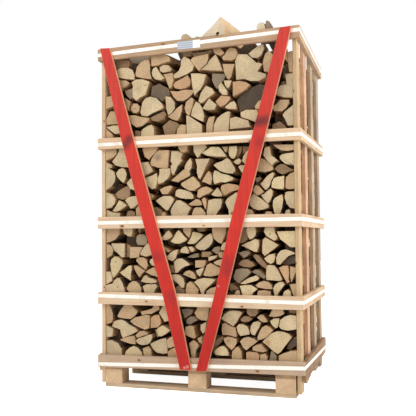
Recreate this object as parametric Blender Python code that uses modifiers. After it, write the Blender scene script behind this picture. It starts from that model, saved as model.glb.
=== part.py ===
# Crate of split hornbeam firewood on a pallet, strapped and braced.
# Metres, +Z up, the open front faces -Y, origin at the bottom centre of the whole crate.
# The log stack is three rows of split logs, each row one body with its log ends in relief.
import math
import random

import bmesh
import bpy
import numpy as np
from mathutils import Matrix, Vector

for old in list(bpy.data.objects):
    bpy.data.objects.remove(old, do_unlink=True)

MM = 0.001
OBJECT_NAME = "crate_of_hornbeam_firewood"

# overall sizes, in millimetres; lengths are stated from the crate's left front bottom corner
CRATE_WIDTH = 1180.0
CRATE_DEPTH = 867.0
RAIL_THICK = 21.0
LEFT_RAIL_THICK = 14.5
SLAT_THICK = 22.0
BRACE_THICK = 20.0
STRAP_THICK = 0.8
STRAP_HEIGHT = 20.0
LABEL_THICK = 0.6
GAP = 0.5
BUTT_GAP = 1.6
ARRIS = 1.2

# the origin sits under the middle of the bounding box: braces stick out in front, straps behind
BRACE_FACE_Y = -21.6
STRAP_OUT = 1.2
CENTRE_X = CRATE_WIDTH / 2
CENTRE_Y = (BRACE_FACE_Y + CRATE_DEPTH + STRAP_OUT) / 2

# pallet
BOTTOM_BOARD_THICK = 20.0
BLOCK_TOP = 98.0
STRINGER_TOP = 118.0
DECK_TOP = 138.0
PALLET_LEFT = 38.0
PALLET_RIGHT = 1129.0
ROW_SPANS = {"front": (21.5, 116.0), "middle": (386.0, 481.0), "back": (751.0, 845.5)}
COLUMN_SPANS = {"left": (38.0, 141.0), "centre": (536.5, 639.5), "right": (1021.5, 1129.0)}
DECK_SPANS = ((22.0, 120.0), (264.0, 362.0), (505.0, 603.0), (747.0, 845.0))

# rails, top level first: (bottom, top) at the left end, the right end and the back
FRONT_RAILS = (
    ((1871.0, 1940.5), (1889.5, 1956.5)),
    ((1352.8, 1419.4), (1349.0, 1408.4)),
    ((896.1, 962.8), (891.7, 959.3)),
    ((467.4, 533.4), (457.5, 529.4)),
    ((112.0, 178.1), (121.5, 193.3)),
)
BACK_RAILS = ((1873.0, 1941.0), (1362.0, 1426.0), (892.2, 960.4), (460.5, 528.0), (118.0, 190.0))
SIDE_RAIL_LOW_FRONT = (87.0, 183.0)
SIDE_RAIL_LOW_BACK = (103.0, 198.0)

# the strap's top edge lies this far below each rail's top, at the left, the right and the back
STRAP_DROPS = ((26.0, 15.0, 15.0), (29.0, 21.0, 15.0), (24.0, 17.0, 18.0), (10.0, 23.0, 23.0), (41.0, 22.0, 43.0))

# side slats: (front edge, back edge, bottom, top)
SLATS = ((21.8, 105.0, 22.0, 1936.0), (265.0, 350.0, 50.0, 1931.0), (515.0, 602.0, 60.0, 1928.0), (760.0, 845.2, 24.0, 1926.0))

# sloping braces over the straps: outer edge and inner edge, both from the top down
LEFT_BRACE = (((25.0, 1938.0), (157.0, 1404.0), (286.0, 941.0), (408.0, 515.0), (504.0, 123.0)),
              ((86.0, 1935.0), (234.0, 1399.0), (366.0, 939.0), (485.0, 516.0), (568.0, 126.0)))
RIGHT_BRACE = (((1140.0, 1950.0), (1097.0, 1770.0), (999.0, 1399.0), (876.0, 946.0), (762.0, 508.0), (653.0, 123.0)),
               ((1078.0, 1946.0), (1032.0, 1776.0), (927.0, 1403.0), (803.0, 948.0), (696.0, 507.0), (595.0, 120.0)))

# label over the top strap: blank, its centre along the rail and up, and its size
LABEL_X = 562.0
LABEL_Z = 1912.0
LABEL_SIZE = (134.0, 45.0)

# the log stack
STACK_WIDTH = 1092.0
STACK_BASE = 139.0
LOG_ROWS = {
    "front": {"seed": 11, "start": 24.0, "end": 290.0},
    "middle": {"seed": 29, "start": 300.0, "end": 565.0},
    "back": {"seed": 47, "start": 575.0, "end": 843.0},
}
RELIEF = 24.0
SETBACKS = (0.0, 3.0, 6.0, 9.0, 12.0)
BACK_RELIEF = (1, 4, 7)
BACK_CYCLE = 10
MOST_CORNERS = (7, 5)
CORE_STEP = 42.0
CORE_COVER = 40.0
CELL = 4.0
LOG_GAP = 3.0

# loose logs on top: outline in X from the middle and Z, front and back end, and a turn and a dip in degrees
# about the outline's first corner
LOOSE_LOGS = {
    "loose_log_wedge": (((137.5, 2074.0), (22.0, 1984.0), (8.0, 1965.0), (20.0, 1936.0), (182.0, 1936.0), (176.0, 1972.0)),
                        (58.0, 293.0), 16.5, 8.1),
    "loose_log_stump": (((352.0, 1900.0), (352.0, 1957.0), (355.0, 1984.0), (366.0, 1997.0), (383.0, 2002.0),
                         (400.0, 1990.0), (406.0, 2008.0), (418.0, 2007.0), (432.0, 1976.0), (440.0, 1952.0),
                         (424.0, 1926.0), (396.0, 1893.0)), (34.0, 162.0), 0.0, 0.0),
}

# split log cross-sections: share of the stack, angle of the split, inner cut, usual radius
LOG_FORMS = {
    "slim_wedge": (10, 58, 0.0, 108.0),
    "wedge": (18, 78, 0.0, 94.0),
    "wide_wedge": (15, 100, 0.0, 82.0),
    "third": (9, 128, 0.0, 68.0),
    "half": (9, 180, 0.0, 56.0),
    "slab": (5, 124, 0.47, 84.0),
    "trimmed": (12, 60, 0.36, 118.0),
    "round": (4, 360, 0.0, 36.0),
    "four_sided": (9, 4, 0.0, 52.0),
    "three_sided": (8, 3, 0.0, 52.0),
}

# where the reference photo was taken from, in millimetres from the crate's left front bottom corner;
# it turns a spot in the 416 by 416 picture into a place on the log ends
VIEW_SPOT = (1710.1, -3317.1, 829.7)
VIEW_TURN = -17.48
VIEW_RISE = 2.80
VIEW_ROLL = -0.51
VIEW_REACH = 639.3
PICTURE_MIDDLE = 208.0
LOG_ENDS_Y = 28.0

# the log ends of each bay between two rails, read off the picture one by one: corners in picture x and y
TOP_BAY_LOGS = {
    "left_dome": ((113, 76.5), (114, 72), (121, 68), (128, 67.5), (132.5, 70), (134.5, 75), (134, 79.5),
                  (126, 79)),
    "left_brown": ((113.5, 59.5), (127.5, 60), (128, 66), (121, 67), (116.5, 69.5)),
    "tall_dome": ((135.5, 74), (137, 67), (140, 63), (145, 60), (149, 60.5), (150, 66), (150.3, 74),
                  (151.5, 79), (144, 78.3), (136.5, 76.5)),
    "under_rail": ((150.5, 54.5), (162, 53), (169, 57), (170, 61), (162, 63.5), (158, 65), (151.5, 66)),
    "pale_oval": ((151.8, 73), (153, 69), (156, 67), (158, 70), (160.5, 74), (164.5, 78), (160, 80),
                  (155, 79), (152.5, 76)),
    "flat_pale": ((159.5, 67), (163, 64.8), (168, 65), (171, 68.5), (170, 71), (163, 72.5), (160, 71)),
    "lean_post": ((184, 56.5), (189, 59), (193.5, 65), (191.5, 70.5), (186, 74), (180, 76.5), (174, 78),
                  (173, 75), (178.5, 70.5), (180.5, 66), (181, 60)),
    "hook": ((163.5, 74.5), (172.3, 73), (173.2, 79), (171.3, 87), (169.5, 88.5), (167.5, 84), (166, 79)),
    "lens": ((172.5, 84.5), (175, 81.5), (180, 79), (187, 75), (190, 80), (189.5, 85), (186, 87.5),
             (180, 89), (175, 88)),
    "bowl": ((170.5, 91), (178, 91.5), (184, 89.8), (193, 90), (192.5, 93.5), (188, 98), (183, 100.8),
             (177, 100.5), (173.5, 97)),
    "slab_top": ((190.3, 60), (193, 57), (207.5, 53.5), (207.8, 59), (206.5, 63), (200, 69), (198.5, 70.6),
                 (195.5, 67)),
    "triangle": ((215, 54), (217, 57.5), (219.5, 63.5), (222, 70), (210, 70), (201, 69.5), (207.2, 63.8),
                 (208.5, 61)),
    "wedge_down": ((190.8, 73.5), (198, 73.3), (205.5, 74.5), (203.5, 82), (200, 89.5), (196, 93),
                   (194.5, 95.5), (193, 91), (191.5, 82)),
    "grey_end": ((211, 72.5), (224.3, 73), (223, 78), (219, 83.5), (216, 88), (213.5, 85), (211, 79)),
    "right_dome": ((226.5, 50), (230, 47.3), (235, 48.3), (237, 53), (235.5, 58), (231, 60), (223, 59.5),
                   (221.5, 57), (224.5, 54)),
    "pink_top": ((212, 48.5), (220, 48), (224, 52.5), (221, 55.3), (216, 54)),
    "short_wedge": ((222.5, 64), (234.5, 64), (232.5, 70), (231, 76), (228.5, 79.5), (226, 77), (224, 72)),
    "leaf": ((220.5, 82), (223, 85), (227, 91), (226.8, 94.8), (222, 94.5), (219, 91), (217.5, 86.5)),
    "small_green": ((224, 80.5), (231.5, 80.5), (230, 86), (227.5, 88.5), (225, 85)),
    "dog_bone": ((238, 54.5), (247, 54.5), (251, 58), (256, 62.5), (262, 63.5), (260, 67), (257, 71.2),
                 (262.5, 72), (265.5, 73.5), (264.5, 77), (258, 80.5), (250, 80.5), (244, 78.5),
                 (236.5, 79.5), (236, 68), (235.5, 61)),
    "dome_by_gap": ((248.5, 53.5), (253, 49.5), (259, 45.5), (263, 44), (264, 49), (262, 54), (257, 58),
                    (252, 57.5)),
    "behind_brace": ((268.5, 50.5), (273, 55), (275, 63), (271, 72), (264, 71), (262.8, 62), (265, 54)),
    "half_lens": ((233, 82), (240, 81), (245, 82), (249.5, 84.5), (246, 89), (238, 94), (233, 96)),
    "dark_bark": ((236.5, 100), (241, 94), (250, 87.5), (258, 83.5), (266, 86), (265, 95), (258, 100),
                  (254, 107), (247, 108.5), (240, 111)),
    "small_dome": ((225.5, 106.5), (230, 102.5), (234, 101), (236, 104), (236.5, 109), (230, 109),
                   (225.5, 108)),
    "rooster": ((206, 86), (212, 88.5), (214.5, 93), (209, 97), (203.5, 102), (200.5, 103), (198.5, 101),
                (201, 93)),
    "saddle_left": ((209, 98.5), (213, 102), (216.5, 104.5), (214.5, 109.5), (207, 110), (202.5, 108.5)),
    "saddle_right": ((221, 95.5), (229.5, 96.5), (230, 99), (225, 104.5), (220, 106.5), (217, 103.8),
                     (215.5, 101.3)),
    "slim_left": ((191, 97.5), (193.5, 99), (192.5, 105), (190, 113), (189, 116), (186, 113), (184.5, 108),
                  (186, 102)),
    "arch_right": ((195.5, 101.5), (199, 103), (202, 108), (203.5, 114), (203, 121.5), (197, 119),
                   (191, 115.5), (192, 109)),
    "low_wedge": ((186.5, 115.5), (190, 117), (196, 121), (201.5, 124.5), (202, 135), (187, 136)),
    "tall_split": ((165.5, 96.5), (170.5, 97), (174.5, 103), (174.5, 108.3), (171.5, 112.5), (168, 115),
                   (166, 108)),
    "wing_right": ((182, 104.5), (181.5, 112), (180, 117), (177, 120.5), (172.5, 119.3), (168, 116.5),
                   (172.5, 113), (176.5, 108.5)),
    "grey_top": ((168.5, 119.8), (175, 121.8), (178.5, 125), (175, 129), (172, 135), (165, 134), (161.5, 126)),
    "low_tan": ((180.5, 124.5), (185.5, 125), (186, 137), (175.5, 138), (177, 129)),
    "rounded_triangle": ((142, 102), (145, 98), (150, 96.5), (156, 98), (161, 103), (163, 107),
                         (160, 109.5), (153, 112.5), (147, 116), (141.5, 115.3), (140, 112)),
    "pith_round": ((131, 106), (133, 103.3), (136.5, 103.5), (139, 106.5), (138.5, 110.5), (136, 113),
                   (132.5, 112.5), (130.3, 109.5)),
    "slim_brown": ((124.5, 98), (129.8, 101), (128.8, 106), (127.5, 110.5), (125.5, 106)),
    "big_left": ((136, 79.5), (142, 79.3), (149, 81.5), (147, 88), (145, 94.3), (140, 97), (136, 100.5),
                 (132.5, 97), (132.3, 90), (133, 86), (131.5, 82.5)),
    "grey_facet": ((124, 90.5), (131.5, 88), (131.5, 97), (129, 98.5), (126, 95.5)),
    "left_tan": ((118, 80.5), (126, 80.5), (129.5, 83), (126, 86.5), (119.5, 89)),
    "dark_log": ((151, 86), (158, 83), (167, 88), (168.5, 94.5), (164, 97), (161, 100.5), (156, 97), (150, 95)),
    "bowl_low": ((128.5, 116), (134, 115.3), (141, 117), (149, 118), (147, 122), (142, 126), (136.5, 127.3),
                 (131.5, 124)),
    "wedge_shade": ((150, 117), (156, 114), (163, 110.8), (165, 114), (163, 118.5), (157, 121), (151, 120)),
    "low_dome": ((148, 126), (151.5, 125), (154, 128), (154.5, 138), (141, 139), (141.5, 131), (144, 128.5)),
    "low_brown": ((134, 130), (139, 131), (140.5, 139), (133, 139)),
    "left_edge_up": ((106.5, 119), (110, 111.5), (114, 111.5), (118, 123.5), (107, 124.5)),
    "left_edge_mid": ((109.5, 127), (113, 125.5), (118.5, 125.5), (121, 133), (115, 134), (111, 131)),
    "left_edge_top": ((107.5, 97), (111, 96), (113.5, 106), (108, 109), (107, 104)),
    "left_edge_low": ((107, 130), (109, 128.5), (112, 134), (114, 140), (107, 140)),
    "low_pair": ((208.5, 117), (214, 116), (213, 122), (211.5, 134), (206, 134), (206, 124)),
    "low_fan": ((227, 111.5), (229.8, 112), (229, 120), (228, 133), (213, 134), (213.8, 124.5), (217, 118),
                (222, 114)),
    "low_block": ((230, 118.5), (236, 116.8), (242, 118.8), (248, 120.5), (250, 127), (240, 128), (230, 129)),
    "over_block": ((240.5, 112.5), (246, 109.8), (257, 109.8), (258, 114), (255, 121.5), (248.5, 119.2),
                   (241, 117)),
    "by_brace_low": ((258.5, 101), (264, 99), (266, 109), (255.5, 109), (255, 106)),
    "right_big": ((285, 74), (291.5, 73), (291.8, 97), (284, 97), (276, 94), (277, 88), (281, 84.8),
                  (286.5, 84)),
    "right_knot": ((281, 81.3), (283.8, 80), (286, 81.8), (284.5, 83.6), (282, 83.8)),
    "right_sliver": ((288.8, 53), (291.8, 51.2), (291.5, 72), (289, 71.5), (288.5, 62)),
    "right_lens": ((276, 104), (280, 99.5), (288.5, 99.5), (289, 103), (286, 108), (282, 111), (274, 110.5),
                   (271, 107)),
    "right_fan": ((291.8, 105), (291.8, 125), (288, 125.5), (285, 119), (282.5, 115), (285, 111.5)),
    "right_low": ((272, 124), (279, 121), (285.5, 126.5), (285, 132), (271, 132)),
    "top_shelf": ((191, 52.3), (211, 49.8), (208, 53), (193, 56.3)),
    "behind_label": ((182, 55.5), (181, 50), (181, 38.5), (181.5, 36), (183, 34.3), (185.5, 33.8), (187.5, 34.5),
                     (189, 38), (190.5, 50), (190, 55)),
    "beside_label": ((193, 46), (194, 38), (196, 36.5), (198, 36.5), (199.5, 38), (200.5, 46)),
}

# second bay from the top
SECOND_BAY_LOGS = {
    "corner_tan": ((105, 150), (116, 150), (116.5, 154), (113, 157.5), (109, 160.5), (105, 160.5)),
    "dome_by_brace": ((112, 161.5), (115, 158), (118, 153.5), (121, 151), (126, 151), (129, 160), (130, 167),
        (121, 166.8), (115, 165)),
    "pink_chip": ((105, 163), (108.5, 162.2), (112, 165), (112, 168), (109.5, 167.5), (106.5, 164.8)),
    "left_tall": ((104.5, 168), (107, 165.5), (110, 169), (114, 171.5), (115.3, 176), (115, 181), (112, 186),
        (108.5, 190), (104.5, 191)),
    "drop": ((115.5, 173.5), (118.5, 169.5), (122, 168), (125, 170), (126.3, 174), (125.5, 178), (123, 183),
        (120, 180.5), (117, 177)),
    "peek_left": ((126.5, 183), (130, 179), (133, 177), (138, 190), (133, 190), (129.5, 188.5)),
    "brown_round": ((114, 194), (117, 191), (122, 188), (126, 186), (129, 189.5), (129, 194), (127, 198.5),
        (121, 199.5), (116, 197.5)),
    "left_round": ((104.5, 194), (108, 192.5), (112, 194.5), (115.5, 199), (114.8, 204), (112, 207.5),
        (107, 208.5), (104.5, 207)),
    "cross_right": ((125, 200.5), (129, 197), (136, 196), (139, 203), (134, 207.5), (130.5, 208.5),
        (127.5, 203.5)),
    "wedge_left": ((119, 200.5), (121, 201), (127, 205.5), (121.5, 209.5), (116, 212), (112.5, 211),
        (116, 206)),
    "low_strip": ((105, 210), (112, 212.5), (119.5, 213), (119, 217.5), (105, 217.5)),
    "low_brown": ((123, 217.5), (126, 211.5), (129, 210.5), (133, 212), (134.5, 217.5)),
    "low_by_brace": ((135.5, 209), (138.5, 205), (144, 217.5), (136, 217.5)),
    "top_fan": ((141, 149.5), (150, 148.5), (159, 148.5), (156.5, 151.5), (152, 156), (149, 159.5),
        (145, 156.5)),
    "arc_big": ((150.5, 162.5), (152, 158.5), (155, 154), (159, 150.5), (169, 150.5), (168.5, 158), (168, 163),
        (167.5, 168), (158, 167.5), (151.5, 165.5)),
    "grey_triangle": ((140, 163), (148, 162), (153, 171), (149, 173.5), (143, 176)),
    "fan_below": ((146, 177.5), (152, 175.5), (156.5, 173), (157.5, 178), (156.5, 184), (155, 188),
        (151.5, 189), (147.5, 185.5), (145, 181)),
    "dome_down": ((159.5, 169), (163, 168.5), (170, 168.5), (170, 174), (167.5, 179), (163.5, 182.5),
        (158, 184), (157.8, 179), (159.5, 174)),
    "grey_lens": ((159.5, 189.5), (164, 187), (170, 185.5), (172, 187), (169.5, 191), (167, 194), (162, 194)),
    "chip_by_brace": ((148.5, 193), (153, 195), (152.5, 197.5), (150, 199.5)),
    "big_wedge": ((155.5, 201), (159, 198), (163, 196), (170, 196), (173.5, 199), (172, 203), (168.5, 209),
        (166, 210.5), (161, 206)),
    "under_brace": ((152, 208), (155, 207), (159.5, 209.5), (161.5, 212), (158, 216), (155.5, 217), (153, 213)),
    "low_tan": ((160, 217.5), (162, 213), (164.5, 212), (168, 214.5), (168, 217.5)),
    "slim_top": ((175, 147), (188, 147), (186.5, 151), (182.5, 152.5), (180, 151.3)),
    "pale_tall": ((171, 151), (177, 151), (182, 153.3), (180.3, 158), (181.5, 160.5), (178, 165), (174.5, 173),
        (172.5, 175), (171, 171), (170.5, 166), (172, 164), (170.3, 161)),
    "mid_up": ((190, 158), (191.5, 162), (191, 168), (189.5, 170.5), (188, 171), (184, 168.5), (184.5, 165.5),
        (187, 161)),
    "lean_tan": ((184, 169), (189, 171.3), (190, 174), (189.5, 175.5), (185, 178), (181, 180), (178, 182),
        (173, 181), (171, 180.5), (175.5, 176.5), (181, 171.5)),
    "tip_down": ((193, 147.5), (200, 147), (206.5, 147), (203.5, 151), (201, 153), (199.5, 155.5),
        (197.5, 157.5), (196, 156), (193.5, 151.5)),
    "ruled": ((202, 153), (205.5, 151), (211, 147), (219, 147), (221.5, 149.5), (225, 154), (226, 156.5),
        (216, 156.5), (207, 155.5)),
    "wedge_down": ((195, 159), (209, 158.5), (208, 161), (205.5, 166), (203, 172), (201, 176.5), (199.8, 179),
        (198, 177.5), (196.5, 172), (196.8, 166), (195.7, 162)),
    "dome_right": ((213.5, 165), (216, 163), (222, 161), (226.5, 158), (229, 159.5), (232, 164), (234.5, 168),
        (235, 171), (232, 173.5), (226, 173), (220, 171), (217, 168.5)),
    "lens_long": ((213, 175), (214.5, 170.5), (217, 171), (222, 173.8), (228, 175), (233, 177.5), (233.5, 179),
        (230, 181), (225, 182.5), (220, 182), (217, 183), (214.5, 184), (213.3, 180)),
    "small_up": ((208.5, 171), (211, 174), (212, 178.5), (211, 183), (209.5, 184.5), (205, 182.5),
        (201.5, 181.5), (204, 177), (206.5, 173)),
    "fan_mid": ((181.5, 183), (186, 180.5), (191, 177.5), (193, 176.5), (195.5, 179), (199, 183), (200, 186),
        (197, 188), (193, 190.5), (189, 190.5), (184.5, 188), (181, 185)),
    "lens_down": ((175, 195.5), (176, 190.5), (179, 189), (184, 190), (190, 192), (192.5, 194.5), (193, 198),
        (191, 198.8), (186, 198.8), (180, 198), (176.5, 196.5)),
    "leaf_mid": ((197.5, 193), (198, 190), (202, 187.5), (206, 186.5), (210.5, 188.5), (212, 190.5),
        (208, 193.5), (203, 195.5), (199.5, 198), (197, 196.5)),
    "tri_mid": ((211, 194.5), (214, 190.8), (217, 187.5), (219, 190), (221, 193), (222, 195.5), (218, 196.5),
        (214, 196)),
    "fan_right": ((220.5, 188), (222, 185), (228, 183.5), (235, 184.5), (240, 187), (237, 190), (231, 191.5),
        (226.5, 194), (223.8, 195.3), (221.5, 191.5)),
    "big_bottom": ((170.5, 211.5), (171, 209), (173, 205), (176.5, 200.5), (180, 200.5), (184, 203),
        (188.5, 206.5), (190.5, 208), (188.5, 211), (185, 214), (179, 215.5), (173, 214.5)),
    "small_lens": ((188.5, 204), (193, 201), (196, 199), (199, 199.5), (201, 201.5), (201.5, 205), (197, 205.5),
        (191, 205.5)),
    "sliver": ((201.7, 199.5), (204.5, 197.5), (206, 199), (206.5, 204), (206, 209.5), (204.5, 208),
        (203, 203.5)),
    "square_round": ((208.5, 200.5), (214, 199), (221, 199), (222, 203), (221, 208), (218, 211.5), (213, 213.5),
        (207, 214.5), (207, 212), (208, 205)),
    "low_mid": ((192.5, 213), (194, 209), (196, 207.5), (201, 207.5), (203.5, 210), (205.5, 213), (205, 217.5),
        (191, 217.5)),
    "right_tall": ((225.5, 202), (227.5, 198.5), (231, 196), (236, 192.5), (240, 196), (236, 211),
        (231.5, 212.5), (230, 213), (228.5, 209.5), (226.5, 205.5)),
    "top_chip": ((221.5, 146.5), (227.5, 146.5), (226.5, 151), (224.8, 152)),
    "round_top": ((228.5, 152), (229, 146.5), (236.5, 146), (237, 150), (236, 155), (233.5, 158.5), (231, 158),
        (229, 155.5)),
    "brown_side": ((238, 146), (241, 146), (240, 152), (236.5, 157), (235.5, 158)),
    "tiny_pale": ((233.5, 162), (236, 159.8), (239, 158.5), (241.3, 160.5), (240, 163.5), (237, 164.5)),
    "behind_up": ((241.8, 161), (243, 156), (246, 151.5), (249, 150), (254, 150), (249, 165), (245, 164)),
    "behind_low": ((238, 166.5), (240.5, 165), (244.5, 165), (249, 168), (244, 175), (240.5, 171)),
    "top_brown": ((242, 146), (249, 146), (247, 150), (244, 151.5), (242, 153)),
    "post_right": ((263.5, 155.5), (265, 147.5), (269.5, 146.5), (270.5, 152), (271, 155), (274.5, 157.5),
        (278, 161), (275, 162), (272, 165.3), (269, 162.5), (266, 159)),
    "big_tan": ((255, 168), (257, 160), (261.5, 158), (265.5, 160), (269.5, 163.3), (272, 166), (273, 169),
        (269, 171), (265, 172), (258, 171)),
    "top_right": ((273, 144.5), (292.5, 144.5), (292.5, 149.5), (287, 150.5), (281, 150), (277, 148)),
    "right_wedge": ((279.5, 157), (281.5, 154.5), (286, 153.5), (292.3, 152.5), (292.5, 166.3), (290.5, 165.5),
        (285, 163.5), (281, 160)),
    "lens_right": ((274, 168.5), (276, 165.5), (280, 163.5), (284, 164), (289.5, 168), (292, 169.5),
        (288, 171.5), (284, 173.5), (281, 174), (277, 171.5)),
    "lean_pale": ((263, 181), (266, 177), (269, 174.5), (272, 172.5), (274, 173), (273.5, 176), (271, 181),
        (269.5, 186), (267, 189), (265, 189.5), (262, 186), (260.3, 183.5)),
    "block_left": ((271.5, 187.5), (272, 182), (274, 178), (277, 177), (284, 176), (284, 187), (283, 189),
        (276, 188.5)),
    "block_right": ((285.5, 188), (285.5, 181), (286, 177), (290, 173.5), (292.8, 172), (292.8, 188.5),
        (288, 189)),
    "chip_top": ((254, 178.5), (259, 176.5), (260.3, 178), (259.5, 180), (256, 182)),
    "left_under": ((253, 190), (255.5, 185), (258.5, 186), (262, 189.5), (263.5, 192), (261.5, 193.3),
        (259.5, 194.5), (257, 195.3), (254.5, 193)),
    "arrow_pale": ((261, 195), (264, 193.7), (267, 191), (270.5, 188.5), (272.5, 191), (272, 196), (270.5, 200),
        (267.5, 203.5), (265, 200.5), (262.5, 197.5)),
    "big_round": ((249.5, 200), (251.5, 196), (254, 193.5), (256.5, 196), (260, 198), (264.5, 201.5),
        (268.5, 205), (268, 207.5), (263, 209.5), (258, 210), (253, 208.5), (249.5, 205)),
    "oval_right": ((272.5, 205), (273, 200), (275, 197.5), (279, 195.5), (282, 194.5), (283, 200), (282, 207),
        (280.5, 211.5), (276, 212), (273.5, 210)),
    "oval_edge": ((284.5, 197), (285.5, 192.5), (288, 191.5), (291, 191.5), (292.5, 196), (292.8, 204),
        (292.3, 208.5), (289.5, 207.5), (286.5, 203.5)),
    "low_right": ((283, 214), (286, 210.5), (289.5, 209.5), (291, 212.5), (293, 216.5), (283, 216.5)),
    "low_flat": ((262, 214), (266, 211.7), (271, 211.7), (274, 214), (279, 213.5), (281, 216.5), (262, 216.5)),
    "low_at_brace": ((247.5, 209), (252, 210), (255, 212.5), (257.5, 216.5), (246, 216.5)),
}

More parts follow.
